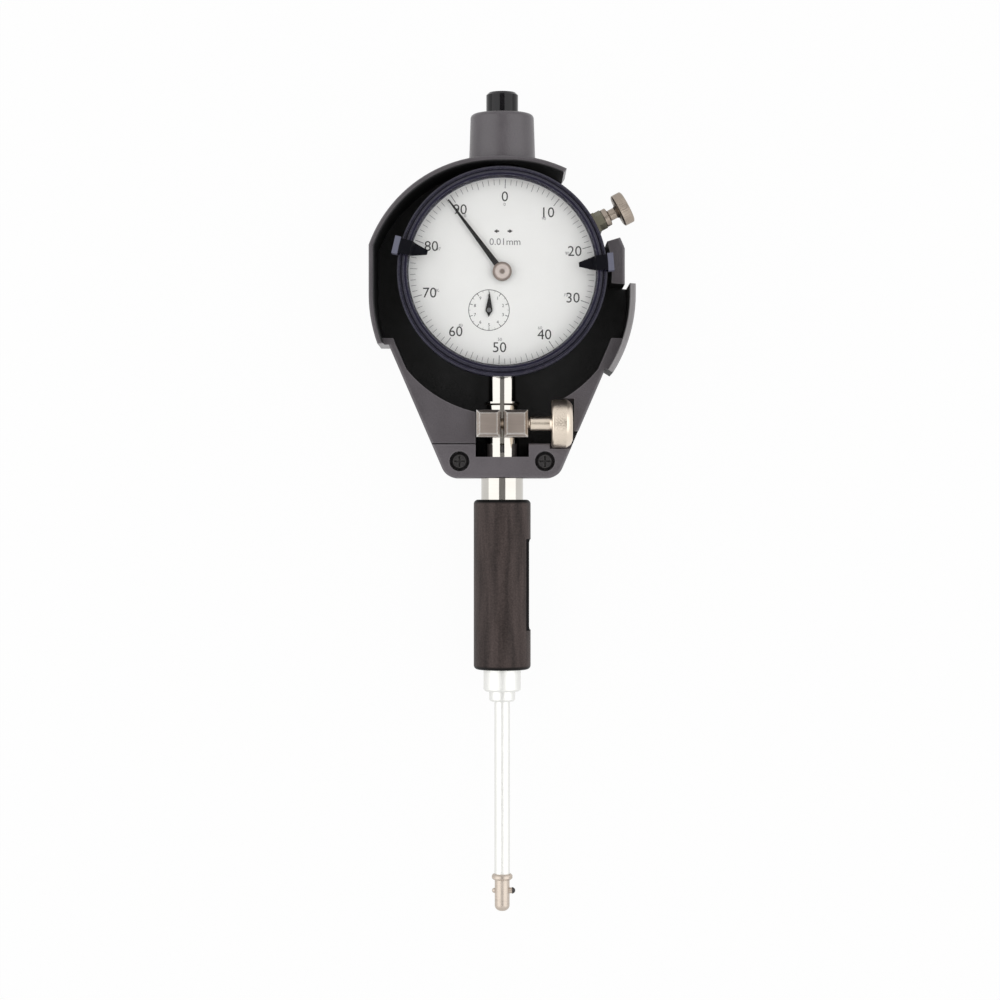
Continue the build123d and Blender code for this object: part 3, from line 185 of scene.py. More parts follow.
class Nodes:
    """Short ways to add and join the nodes of one tree."""

    def __init__(self, tree):
        self.tree = tree

    def add(self, kind, **settings):
        node = self.tree.nodes.new(kind)
        for name, value in settings.items():
            setattr(node, name, value)
        return node

    def put(self, value, socket):
        """Joins an output to an input, or sets the input to a plain value."""
        if isinstance(value, bpy.types.NodeSocket):
            self.tree.links.new(value, socket)
        else:
            socket.default_value = value

    def math(self, operation, first, second=0.0):
        node = self.add("ShaderNodeMath", operation=operation)
        self.put(first, node.inputs[0])
        self.put(second, node.inputs[1])
        return node.outputs[0]

    def ramp(self, value, low, high, out_low=0.0, out_high=1.0):
        """Takes a value from one range to another, held at its ends."""
        node = self.add("ShaderNodeMapRange")
        for socket, given in zip(node.inputs, (value, low, high, out_low, out_high)):
            self.put(given, socket)
        return node.outputs["Result"]

    def mix(self, share, first, second):
        """A colour between two."""
        node = self.add("ShaderNodeMix", data_type="RGBA")
        self.put(share, node.inputs[0])
        self.put(first, node.inputs[MIX_FIRST])
        self.put(second, node.inputs[MIX_SECOND])
        return node.outputs[MIX_RESULT]

    def tones(self, share, colour, darkest, lightest=1.0):
        """One colour that varies between two strengths."""
        return self.mix(share, opaque(tinted(colour, darkest)), opaque(tinted(colour, lightest)))

    def blend(self, first, second, weight):
        """A value between two, where weight is the first one's share."""
        first_part = self.math("MULTIPLY", first, weight)
        second_part = self.math("MULTIPLY", second, 1 - weight)
        return self.math("ADD", first_part, second_part)

    def place(self):
        """Where a point lies on the object."""
        return self.add("ShaderNodeTexCoord").outputs["Object"]

    def noise(self, place, scale, detail):
        """Soft noise, from 0 to 1."""
        node = self.add("ShaderNodeTexNoise")
        self.put(place, node.inputs["Vector"])
        self.put(scale, node.inputs["Scale"])
        self.put(detail, node.inputs["Detail"])
        return node.outputs["Fac"]

    def axes(self, vector):
        """The three parts of a vector."""
        node = self.add("ShaderNodeSeparateXYZ")
        self.put(vector, node.inputs[0])
        return node.outputs[0], node.outputs[1], node.outputs[2]

    def dial_radius(self):
        """How far a point lies from the dial's axis."""
        x, y, _ = self.axes(self.place())
        square = self.math("ADD", self.math("MULTIPLY", x, x), self.math("MULTIPLY", y, y))
        return self.math("SQRT", square)

    def group(self, name, **values):
        """What one of the shared effects gives for its own values."""
        node = self.add("ShaderNodeGroup", node_tree=bpy.data.node_groups[name])
        for label, value in values.items():
            self.put(value, node.inputs[label])
        return node.outputs[0]

    def show(self, share, first, second, output):
        """Sends a mix of two shaders to an output."""
        mixer = self.add("ShaderNodeMixShader")
        for socket, given in zip(mixer.inputs, (share, first.outputs[0], second.outputs[0])):
            self.put(given, socket)
        self.put(mixer.outputs[0], self.tree.nodes[output].inputs["Surface"])


def opaque(values):
    """A colour with full alpha."""
    return (values[0], values[1], values[2], 1.0)


def new_group(name, inputs, outputs):
    """An empty shader node group with named sockets."""
    tree = bpy.data.node_groups.new(name, "ShaderNodeTree")
    for label, kind, default in inputs:
        socket = tree.interface.new_socket(label, in_out="INPUT", socket_type=kind)
        socket.default_value = default
    for label in outputs:
        tree.interface.new_socket(label, in_out="OUTPUT", socket_type="NodeSocketFloat")
    nodes = Nodes(tree)
    return nodes, nodes.add("NodeGroupInput"), nodes.add("NodeGroupOutput")


def make_grain_group():
    """Fine irregular grain, drawn out into turned or brushed lines along an axis whose Stretch is low."""
    nodes, given, result = new_group(
        "Surface grain",
        [("Stretch", "NodeSocketVector", (1.0, 1.0, 1.0)), ("Scale", "NodeSocketFloat", 4.0)],
        ["Height"],
    )
    spread = nodes.add("ShaderNodeVectorMath", operation="MULTIPLY")
    nodes.put(nodes.place(), spread.inputs[0])
    nodes.put(given.outputs["Stretch"], spread.inputs[1])
    scale = nodes.math("MULTIPLY", given.outputs["Scale"], 1 / MM)
    noise = nodes.noise(spread.outputs[0], scale, detail=3.0)
    nodes.put(nodes.ramp(noise, 0.3, 0.7), result.inputs["Height"])


def make_handling_group():
    """Broad soft patches left by handling, for tone and gloss."""
    nodes, given, result = new_group("Handling", [("Scale", "NodeSocketFloat", 0.15)], ["Patches"])
    scale = nodes.math("MULTIPLY", given.outputs["Scale"], 1 / MM)
    noise = nodes.noise(nodes.place(), scale, detail=2.0)
    nodes.put(nodes.ramp(noise, 0.32, 0.68), result.inputs["Patches"])


def make_edge_group():
    """Where edges are, broken up a little as wear is. What goes on these edges is partly painted highlight
    and partly wear.
    """
    off_edge, on_edge = 0.995, 0.9  # how alike the plain and the rounded normal are
    patch_scale, least_wear = 0.7, 0.45
    nodes, given, result = new_group("Edge highlights and wear", [("Radius", "NodeSocketFloat", 0.4 * MM)], ["Edges"])
    bevel = nodes.add("ShaderNodeBevel", samples=4)
    nodes.put(given.outputs["Radius"], bevel.inputs["Radius"])
    likeness = nodes.add("ShaderNodeVectorMath", operation="DOT_PRODUCT")
    nodes.put(bevel.outputs["Normal"], likeness.inputs[0])
    nodes.put(nodes.add("ShaderNodeNewGeometry").outputs["Normal"], likeness.inputs[1])
    edge = nodes.ramp(likeness.outputs["Value"], off_edge, on_edge)
    noise = nodes.noise(nodes.place(), patch_scale / MM, detail=2.0)
    wear = nodes.ramp(noise, 0.3, 0.6, least_wear, 1.0)
    nodes.put(nodes.math("MULTIPLY", edge, wear), result.inputs["Edges"])


def new_material(name):
    """A material with one Principled shader, and that shader."""
    material = bpy.data.materials.new(name)
    material.use_nodes = True
    nodes = Nodes(material.node_tree)
    return material, nodes, material.node_tree.nodes["Principled BSDF"]


def grain_relief(nodes, shader, height, depth):
    """Puts a grain into the surface, to a depth in millimetres."""
    bump = nodes.add("ShaderNodeBump")
    nodes.put(1.0, bump.inputs["Strength"])
    nodes.put(depth * MM, bump.inputs["Distance"])
    nodes.put(height, bump.inputs["Height"])
    nodes.put(bump.outputs["Normal"], shader.inputs["Normal"])


def tinted(values, factor):
    """A colour made darker or lighter by a factor."""
    return tuple(min(1.0, value * factor) for value in values)


def finish(
    name, colour, metallic, gloss, scale, depth, stretch=(1.0, 1.0, 1.0), drift=0.86,
    edge=None, edge_width=0.4, shine=0.5,
):
    """A material whose tone and gloss drift with handling, and whose grain is in its surface.

    gloss is the lowest and highest roughness, scale the grain per millimetre, depth its relief in
    millimetres, stretch each axis's share of the scale, drift what is left of the tone where it is darkest,
    edge the colour put on edges, partly as painted highlight and partly as wear, edge_width how far it
    reaches, and shine the specular level.
    """
    patch_share = 0.4
    material, nodes, shader = new_material(name)
    grain = nodes.group("Surface grain", Stretch=stretch, Scale=scale)
    patches = nodes.group("Handling")
    share = nodes.blend(patches, grain, patch_share)
    base = nodes.tones(share, colour, drift)
    if edge is not None:
        edges = nodes.group("Edge highlights and wear", Radius=edge_width * MM)
        base = nodes.mix(edges, base, opaque(edge))
    nodes.put(base, shader.inputs["Base Color"])
    nodes.put(nodes.ramp(share, 0.0, 1.0, gloss[0], gloss[1]), shader.inputs["Roughness"])
    shader.inputs["Metallic"].default_value = metallic
    shader.inputs["Specular IOR Level"].default_value = shine
    grain_relief(nodes, shader, grain, depth)
    return material


def dress(material, *names):
    """Gives CAD nodes a material."""
    for name in names:
        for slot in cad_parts[name].material_slots:
            slot.material = material


def new_object(name, shape, material):
    """Makes an object of a mesh in millimetres."""
    mesh = bpy.data.meshes.new(name)
    shape.transform(Matrix.Scale(MM, 4))
    shape.to_mesh(mesh)
    shape.free()
    mesh.materials.append(material)
    thing = bpy.data.objects.new(name, mesh)
    bpy.context.scene.collection.objects.link(thing)
    return thing


def piece(name, shape, material, body, slot, *stands_for):
    """Makes a smooth object that rides on a body, in place of CAD nodes if any are named."""
    bmesh.ops.recalc_face_normals(shape, faces=shape.faces)
    thing = new_object(name, shape, material)
    thing.data.polygons.foreach_set("use_smooth", [True] * len(thing.data.polygons))
    thing.data.set_sharp_from_angle(angle=SHARP_ANGLE)
    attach(thing, body)
    if stands_for:
        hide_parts(*stands_for)
    return thing


def prism(shape, outline, low, high):
    """Adds a flat outline of points with a thickness."""
    below = [shape.verts.new((x, y, low)) for x, y in outline]
    above = [shape.verts.new((x, y, high)) for x, y in outline]
    shape.faces.new(reversed(below))
    shape.faces.new(above)
    for here, there in zip(range(len(outline)), [*range(1, len(outline)), 0]):
        shape.faces.new((below[here], below[there], above[there], above[here]))


def polar(radius, angle, centre=DIAL_AXIS):
    """A point at a radius and an angle in radians round a centre."""
    return centre[0] + radius * math.cos(angle), centre[1] + radius * math.sin(angle)


def tick(shape, inner, outer, angle, width, low, high, centre=DIAL_AXIS):
    """Adds one printed mark that points at a centre."""
    across = (-math.sin(angle) * width / 2, math.cos(angle) * width / 2)
    near = polar(inner, angle, centre)
    far = polar(outer, angle, centre)
    outline = [
        (near[0] - across[0], near[1] - across[1]), (far[0] - across[0], far[1] - across[1]),
        (far[0] + across[0], far[1] + across[1]), (near[0] + across[0], near[1] + across[1]),
    ]
    prism(shape, outline, low, high)


def printed_ring(shape, centre, inner, outer, low, high, segments=96):
    """Adds a printed circle line."""
    rings = []
    for radius, z in ((inner, low), (outer, low), (outer, high), (inner, high)):
        points = [polar(radius, FULL_TURN * step / segments, centre) for step in range(segments)]
        rings.append([shape.verts.new((x, y, z)) for x, y in points])
    for ring, following in zip(rings, rings[1:] + rings[:1]):
        for step in range(segments):
            after = (step + 1) % segments
            shape.faces.new((ring[step], ring[after], following[after], following[step]))


def lettering(shape, words, height, place, low, high):
    """Adds upright words of a height, centred on a place."""
    curve = bpy.data.curves.new("lettering", "FONT")
    curve.body = words
    curve.resolution_u = 3
    curve.extrude = (high - low) / 2
    holder = bpy.data.objects.new("lettering", curve)
    bpy.context.scene.collection.objects.link(holder)
    bpy.context.view_layer.update()
    mesh = bpy.data.meshes.new_from_object(holder.evaluated_get(bpy.context.evaluated_depsgraph_get()))
    xs = [vertex.co.x for vertex in mesh.vertices]
    ys = [vertex.co.y for vertex in mesh.vertices]
    size = height / (max(ys) - min(ys))
    middle = Matrix.Translation((-(max(xs) + min(xs)) / 2, -(max(ys) + min(ys)) / 2, 0))
    to_place = Matrix.Translation((place[0], place[1], (low + high) / 2))
    mesh.transform(to_place @ Matrix.Diagonal((size, size, 1, 1)) @ middle)
    shape.from_mesh(mesh)
    bpy.data.meshes.remove(mesh)
    bpy.data.objects.remove(holder)
    bpy.data.curves.remove(curve)


def triangle_wave(turns):
    """0 at whole numbers and 1 half way between them."""
    return abs(2 * (turns - math.floor(turns + 0.5)))


def turned(rows, segments):
    """A mesh turned about +X from rows of place along the axis, radius and a groove depth for every angle.

    A row's groove is None where it is plain, or a function of the angle. Rows of no radius close the ends.
    """
    shape = bmesh.new()
    rings = []
    for along, radius, groove in rows:
        if radius == 0:
            rings.append([shape.verts.new((along, 0, 0))])
            continue
        ring = []
        for step in range(segments):
            angle = FULL_TURN * step / segments
            reach = radius if groove is None else radius - groove(angle)
            ring.append(shape.verts.new((along, reach * math.cos(angle), reach * math.sin(angle))))
        rings.append(ring)
    for ring, following in zip(rings, rings[1:]):
        for step in range(segments):
            after = (step + 1) % segments
            corners = [ring[step % len(ring)], ring[after % len(ring)]]
            corners += [following[after % len(following)], following[step % len(following)]]
            shape.faces.new(list(dict.fromkeys(corners)))
    return shape


def plain_rows(*pairs):
    """Rows without grooves, from pairs of a place along the axis and a radius."""
    return [(along, radius, None) for along, radius in pairs]


def knurl_rows(start, end, radius, pitch, depth, crossed):
    """Rows of a knurled band whose grooves fade out at its ends, crossed for diamonds or straight."""
    least_rows, steps_per_groove = 8, 6
    fade_rate = 4  # a quarter of the band fades at each end
    teeth = round(FULL_TURN * radius / pitch)
    count = max(least_rows, round((end - start) / (pitch / steps_per_groove)))
    rows = []
    for step in range(count + 1):
        along = start + (end - start) * step / count
        fade = min(1.0, fade_rate * step / count, fade_rate * (count - step) / count)
        lean = (along - start) / pitch if crossed else 0.0

        def groove(angle, fade=fade, lean=lean):
            turns = teeth * angle / FULL_TURN
            return depth * fade * (1 - min(triangle_wave(turns + lean), triangle_wave(turns - lean)))

        rows.append((along, radius, groove))
    return rows, teeth * steps_per_groove


def thread_rows(start, end, radius, pitch=0.5, depth=0.16):
    """Rows of a screw thread's profile."""
    rows = []
    along = start
    while along + pitch < end:
        rows += plain_rows((along, radius), (along + pitch / 2, radius - depth))
        along += pitch
    return rows + plain_rows((end, radius))


class GAUGE_OT_stage(bpy.types.Operator):
    """Makes the floor, the two side lamps, the grey flag overhead, the world and the camera"""

    bl_idname = "gauge.stage"
    bl_label = "Stage"

    def execute(self, context):
        studio = context.scene.gauge_studio
        context.scene.view_settings.view_transform = "Standard"
        self.make_world(context, studio)
        self.make_floor(studio)
        self.make_flag()
        for side in (-1, 1):
            self.make_lamp(studio, side)
        self.make_camera(context, studio)
        return {"FINISHED"}

    def make_camera(self, context, studio):
        """A camera that looks straight down on the dial."""
        sensor_width, nearest = 36.0, 10
        camera = bpy.data.cameras.new("camera")
        camera.lens = studio.camera_lens
        camera.sensor_width = sensor_width
        camera.clip_start = nearest * MM
        holder = bpy.data.objects.new("camera", camera)
        holder.location = studio.camera_place
        context.scene.collection.objects.link(holder)
        context.scene.camera = holder

    def seen_directly(self, nodes):
        """1 for rays that look at the background, straight, in a mirror or through glass."""
        path = nodes.add("ShaderNodeLightPath")
        straight = nodes.math("MAXIMUM", path.outputs["Is Camera Ray"], path.outputs["Is Glossy Ray"])
        return nodes.math("MAXIMUM", straight, path.outputs["Is Transmission Ray"])

    def make_world(self, context, studio):
        """Even light from all around, which is seen as white."""
        world = bpy.data.worlds.new("studio")
        world.use_nodes = True
        context.scene.world = world
        nodes = Nodes(world.node_tree)
        light = world.node_tree.nodes["Background"]
        light.inputs["Color"].default_value = (1, 1, 1, 1)
        light.inputs["Strength"].default_value = studio.fill
        white = nodes.add("ShaderNodeBackground")
        white.inputs["Color"].default_value = (1, 1, 1, 1)
        nodes.show(self.seen_directly(nodes), light, white, "World Output")

    def make_floor(self, studio):
        """A wide pale floor, seen as nearly white, that keeps the shadow."""
        radius, drop, segments, white_share = 4000, 0.05, 64, 0.95
        shape = bmesh.new()
        bmesh.ops.create_circle(shape, cap_ends=True, segments=segments, radius=radius)
        material, nodes, shader = new_material("pale floor")
        grain = nodes.group("Surface grain", Scale=0.5)
        nodes.put(nodes.tones(grain, studio.floor, 0.99), shader.inputs["Base Color"])
        shader.inputs["Roughness"].default_value = 0.9
        shader.inputs["Specular IOR Level"].default_value = 0.0
        white = nodes.add("ShaderNodeEmission")
        share = nodes.math("MULTIPLY", self.seen_directly(nodes), white_share)
        nodes.show(share, shader, white, "Material Output")
        self.stage_object("floor", shape, material, (0, 0, -drop))

    def make_flag(self):
        """A square grey cloth overhead, which gives polished tubes their dark line."""
        half_side, thickness, height = 340, 4, 1100
        dark_grey, light_grey = (0.36, 0.35, 0.34, 1), (0.42, 0.41, 0.4, 1)
        corners = [(x * half_side, y * half_side) for x, y in ((-1, -1), (1, -1), (1, 1), (-1, 1))]
        shape = bmesh.new()
        prism(shape, corners, 0, thickness)
        material, nodes, shader = new_material("grey flag")
        grain = nodes.group("Surface grain", Scale=0.5)
        nodes.put(nodes.mix(grain, dark_grey, light_grey), shader.inputs["Base Color"])
        shader.inputs["Roughness"].default_value = 1.0
        shader.inputs["Specular IOR Level"].default_value = 0.0
        self.stage_object("flag", shape, material, (0, GAUGE_MIDDLE_Y, height))

    def stage_object(self, name, shape, material, place):
        """Makes an object that belongs to the stage."""
        shape.transform(Matrix.Translation(place))
        thing = new_object(name, shape, material)

    def make_lamp(self, studio, side):
        """A square lamp at one side, aimed at the middle of the gauge."""
        size, off_side, height, aim_height = 1000, 620, 560, 10
        lamp = bpy.data.lights.new("side lamp", "AREA")
        lamp.shape = "SQUARE"
        lamp.size = size * MM
        lamp.energy = studio.lamp_power
        holder = bpy.data.objects.new("side lamp", lamp)
        holder.location = Vector((side * off_side, GAUGE_MIDDLE_Y, height)) * MM
        aim = Vector((0, GAUGE_MIDDLE_Y, aim_height)) * MM - holder.location
        holder.rotation_euler = aim.to_track_quat("-Z", "Y").to_euler()
        bpy.context.scene.collection.objects.link(holder)


class GAUGE_OT_guard(bpy.types.Operator):
    """Finishes the moulded guard, with black painted shade inside and a painted highlight on its band, with
    its bar, its screws and the spindle cap
    """

    bl_idname = "gauge.guard"
    bl_label = "Guard"

    level = 0.5  # a face whose normal's Z is beyond this looks up or down

    def execute(self, context):
        guard = context.scene.gauge_guard
        metal = context.scene.gauge_metal
        dress(self.moulding("moulded guard", guard, guard.shell, shaded_inside=True), "guard_shell")
        dress(self.moulding("moulded bar", guard, guard.bar, shaded_inside=False), "guard_bar")
        # the cap's lighter edge colour is a painted highlight
        cap_gloss = finish(
            "gloss cap", guard.cap, 0.0, (0.08, 0.16), 3.0, 0.002, edge=tinted(guard.cap, 3), shine=0.32
        )
        dress(cap_gloss, "spindle_cap")
        # the lighter edge colour is partly painted highlight and partly wear
        blackened = finish(
            "blackened steel", metal.black, 0.6, (0.3, 0.5), 6.0, 0.008, edge=linear(80, 78, 76)
        )
        dress(blackened, "guard_screws")
        return {"FINISHED"}

    def moulding(self, name, guard, colour, shaded_inside):
        """Grained plastic with lighter edges, which are a painted highlight. One that is shaded inside has
        black painted shade inside, and a painted highlight on the top of its band at the right.
        """
        edge_width, edge_share, shade_matt = 0.5, 0.6, 0.3
        material, nodes, shader = new_material(name)
        grain = nodes.group("Surface grain", Scale=2.6)
        patches = nodes.group("Handling", Scale=0.12)
        share = nodes.blend(patches, grain, 0.5)
        edges = nodes.group("Edge highlights and wear", Radius=edge_width * MM)
        base = nodes.tones(share, colour, 0.84, 1.1)
        # painted highlight: lighter colour on the edges of the guard and its bar
        base = nodes.mix(nodes.math("MULTIPLY", edges, edge_share), base, opaque(guard.edge))
        gloss = nodes.ramp(share, 0.0, 1.0, 0.28, 0.4)
        if shaded_inside:
            spot = nodes.add("ShaderNodeTexCoord")
            place = nodes.axes(spot.outputs["Object"])
            facing = nodes.axes(spot.outputs["Normal"])
            rim = self.on_rim(nodes, place)
            toward = self.facing_inwards(nodes, place, facing)
            up = nodes.math("GREATER_THAN", facing[2], self.level)
            # painted highlight on the band's top and the inner wall under it, at the right
            band_sheen = nodes.math("MULTIPLY", rim, nodes.math("MAXIMUM", up, toward))
            base = nodes.mix(band_sheen, base, nodes.tones(share, guard.band, 0.86, 1.06))
            # painted shade: black on the tub floor, the hollow undersides and the inward walls, away from the
            # band's top
            inward = nodes.math("MULTIPLY", toward, nodes.math("SUBTRACT", 1.0, rim))
            base = nodes.mix(inward, base, nodes.tones(grain, guard.inside, 0.5))
            gloss = nodes.math("ADD", gloss, nodes.math("MULTIPLY", inward, shade_matt))
        nodes.put(base, shader.inputs["Base Color"])
        nodes.put(gloss, shader.inputs["Roughness"])
        shader.inputs["Specular IOR Level"].default_value = 0.6
        grain_relief(nodes, shader, grain, 0.02)
        return material

    def on_rim(self, nodes, place):
        """1 near the top of the band at the right."""
        at_right = nodes.math("GREATER_THAN", place[0], BAND_SHEEN_X * MM)
        high = nodes.math("GREATER_THAN", place[2], (BAND_TOP_Z - BAND_RIM) * MM)
        return nodes.math("MULTIPLY", high, at_right)

    def facing_inwards(self, nodes, place, facing):
        """1 on the floor of the tub, on hollow undersides and on walls that face the dial or the tube."""
        dial_wall, tube_wall = -4.0, -2.0  # how far towards the dial or the tube such a wall looks
        floor_top, underside = 12.0, 1.5
        x, y, z = place
        facing_x, facing_y, facing_z = facing
        from_x = nodes.math("SUBTRACT", x, GUARD_CENTRE[0] * MM)
        from_y = nodes.math("SUBTRACT", y, GUARD_CENTRE[1] * MM)
        outward_x = nodes.math("MULTIPLY", from_x, facing_x)
        outward_y = nodes.math("MULTIPLY", from_y, facing_y)
        to_dial = nodes.math("LESS_THAN", nodes.math("ADD", outward_x, outward_y), dial_wall * MM)
        to_tube = nodes.math("LESS_THAN", nodes.math("MULTIPLY", x, facing_x), tube_wall * MM)
        upward = nodes.math("GREATER_THAN", facing_z, self.level)
        floor = nodes.math("MULTIPLY", upward, nodes.math("LESS_THAN", z, floor_top * MM))
        downward = nodes.math("LESS_THAN", facing_z, -self.level)
        roof = nodes.math("MULTIPLY", downward, nodes.math("GREATER_THAN", z, underside * MM))
        walls = nodes.math("MAXIMUM", to_dial, to_tube)
        return nodes.math("MAXIMUM", walls, nodes.math("MAXIMUM", floor, roof))


class GAUGE_OT_indicator(bpy.types.Operator):
    """Finishes the indicator's bezel, case and crystal"""

    bl_idname = "gauge.indicator"
    bl_label = "Indicator"

    def execute(self, context):
        dial = context.scene.gauge_dial
        # the lighter bluish edge colour is a painted highlight on the bezel's edges
        enamel = finish(
            "bezel enamel", dial.bezel, 0.0, (0.2, 0.32), 5.0, 0.003, edge=linear(86, 84, 100), shine=0.3
        )
        dress(enamel, "bezel")
        dress(finish("case enamel", dial.case, 0.0, (0.4, 0.55), 4.0, 0.01), "indicator_case", "case_back")
        dress(finish("seal ring", tinted(dial.bezel, 2), 0.0, (0.5, 0.7), 4.0, 0.01), "crystal_ring")
        dress(self.clear_crystal(), "crystal")
        return {"FINISHED"}

    def clear_crystal(self):
        """Clear moulded crystal with faint handling marks. Lamps shine through it."""
        bending, most_rough = 1.46, 0.03
        material, nodes, shader = new_material("clear crystal")
        patches = nodes.group("Handling", Scale=0.25)
        nodes.put(nodes.ramp(patches, 0.0, 1.0, 0.0, most_rough), shader.inputs["Roughness"])
        shader.inputs["Base Color"].default_value = (1, 1, 1, 1)
        shader.inputs["Transmission Weight"].default_value = 1.0
        shader.inputs["IOR"].default_value = bending
        clear = nodes.add("ShaderNodeBsdfTransparent")
        shadow = nodes.add("ShaderNodeLightPath").outputs["Is Shadow Ray"]
        nodes.show(shadow, shader, clear, "Material Output")
        return material


class GAUGE_OT_dial(bpy.types.Operator):
    """Prints the turning scale and the fixed centre of the dial"""

    bl_idname = "gauge.dial"
    bl_label = "Dial"

    ink_height = 0.03  # the print stands this far above the dial, in millimetres

    def execute(self, context):
        dial = context.scene.gauge_dial
        enamel = finish("dial enamel", dial.face, 0.0, (0.5, 0.6), 6.0, 0.003, drift=0.97)
        dress(enamel, "dial_centre", "dial_scale")
        self.cover_split(enamel)
        ink = finish("dial ink", dial.ink, 0.0, (0.45, 0.6), 8.0, 0.002, drift=0.8, shine=0.2)
        fine_ink = finish("fine ink", dial.fine_ink, 0.0, (0.45, 0.6), 8.0, 0.002, drift=0.85, shine=0.2)
        self.print_scale(dial, ink, fine_ink)
        self.print_centre(ink, fine_ink)
        return {"FINISHED"}

    def cover_split(self, enamel):
        """A thin lip on the scale, over the split round the fixed centre."""
        inner, outer, clear, thickness, segments = 17.5, 17.9, 0.004, 0.016, 192
        low = max(SCALE_FACE_Z, CENTRE_FACE_Z) + clear
        shape = bmesh.new()
        printed_ring(shape, DIAL_AXIS, inner, outer, low, low + thickness, segments)
        piece("scale_lip", shape, enamel, "bezel", "dial")

    def print_scale(self, dial, ink, fine_ink):
        """Marks and numerals on the ring that turns with the bezel, with a second row that counts back."""
        low = SCALE_FACE_Z - self.ink_height / 3
        high = SCALE_FACE_Z + self.ink_height
        outer, short, middle, long = 25.1, 23.6, 23.1, 22.7
        wide, narrow = 0.2, 0.12
        back_radius, back_height = 18.35, 0.85
        shape = bmesh.new()
        fine = bmesh.new()
        for mark in range(dial.divisions):
            angle = FULL_TURN / 4 + dial.scale_turn - FULL_TURN * mark / dial.divisions
            is_ten = mark % 10 == 0
            inner = long if is_ten else middle if mark % 5 == 0 else short
            tick(fine, inner, outer, angle, wide if is_ten else narrow, low, high)
            if is_ten:
                place = polar(dial.numeral_radius / MM, angle)
                lettering(shape, str(mark), dial.numeral_height / MM, place, low, high)
                back = (dial.divisions - mark) % dial.divisions
                lettering(fine, str(back), back_height, polar(back_radius, angle), low, high)
        piece("scale_numerals", shape, ink, "bezel", "hand")
        piece("scale_marks", fine, fine_ink, "bezel", "hand")

    def print_centre(self, ink, fine_ink):
        """Unit, direction arrows and the counter's own small scale."""
        low = CENTRE_FACE_Z - self.ink_height / 3
        high = CENTRE_FACE_Z + self.ink_height
        unit_height, unit_place = 1.85, (0.75, 8.2)
        arrow_y, left_arrow_x, right_arrow_x = 11.05, -1.35, 1.95
        ring, line, count = 5.6, 0.16, 10
        long, short, narrow = 0.95, 0.55, 0.1
        figure_height, figure_in = 0.85, 1.6
        shape = bmesh.new()
        fine = bmesh.new()
        lettering(fine, "0.01mm", unit_height, unit_place, low, high)
        for side, x in ((-1, left_arrow_x), (1, right_arrow_x)):
            self.arrow(shape, side, x, arrow_y, low, high)
        printed_ring(shape, COUNTER_PLACE, ring - line, ring, low, high)
        mark_end = ring - line / 2
        for mark in range(count):
            angle = FULL_TURN / 4 - FULL_TURN * mark / count
            half_way = angle - FULL_TURN / count / 2
            tick(shape, ring - long, mark_end, angle, line, low, high, COUNTER_PLACE)
            tick(shape, ring - short, mark_end, half_way, narrow, low, high, COUNTER_PLACE)
            figure_place = polar(ring - figure_in, angle, COUNTER_PLACE)
            lettering(shape, str(mark), figure_height, figure_place, low, high)
        piece("centre_print", shape, ink, "gauge", "hand")
        piece("unit_print", fine, fine_ink, "gauge", "hand")

    def arrow(self, shape, side, x, y, low, high):
        """A solid arrow that points left or right."""
        half_head, head, tail, half_tail = 0.55, 0.9, 0.5, 0.22
        outline = [
            (x + side * head, y), (x, y + half_head), (x, y + half_tail), (x - side * tail, y + half_tail),
            (x - side * tail, y - half_tail), (x, y - half_tail), (x, y - half_head),
        ]
        prism(shape, outline, low, high)


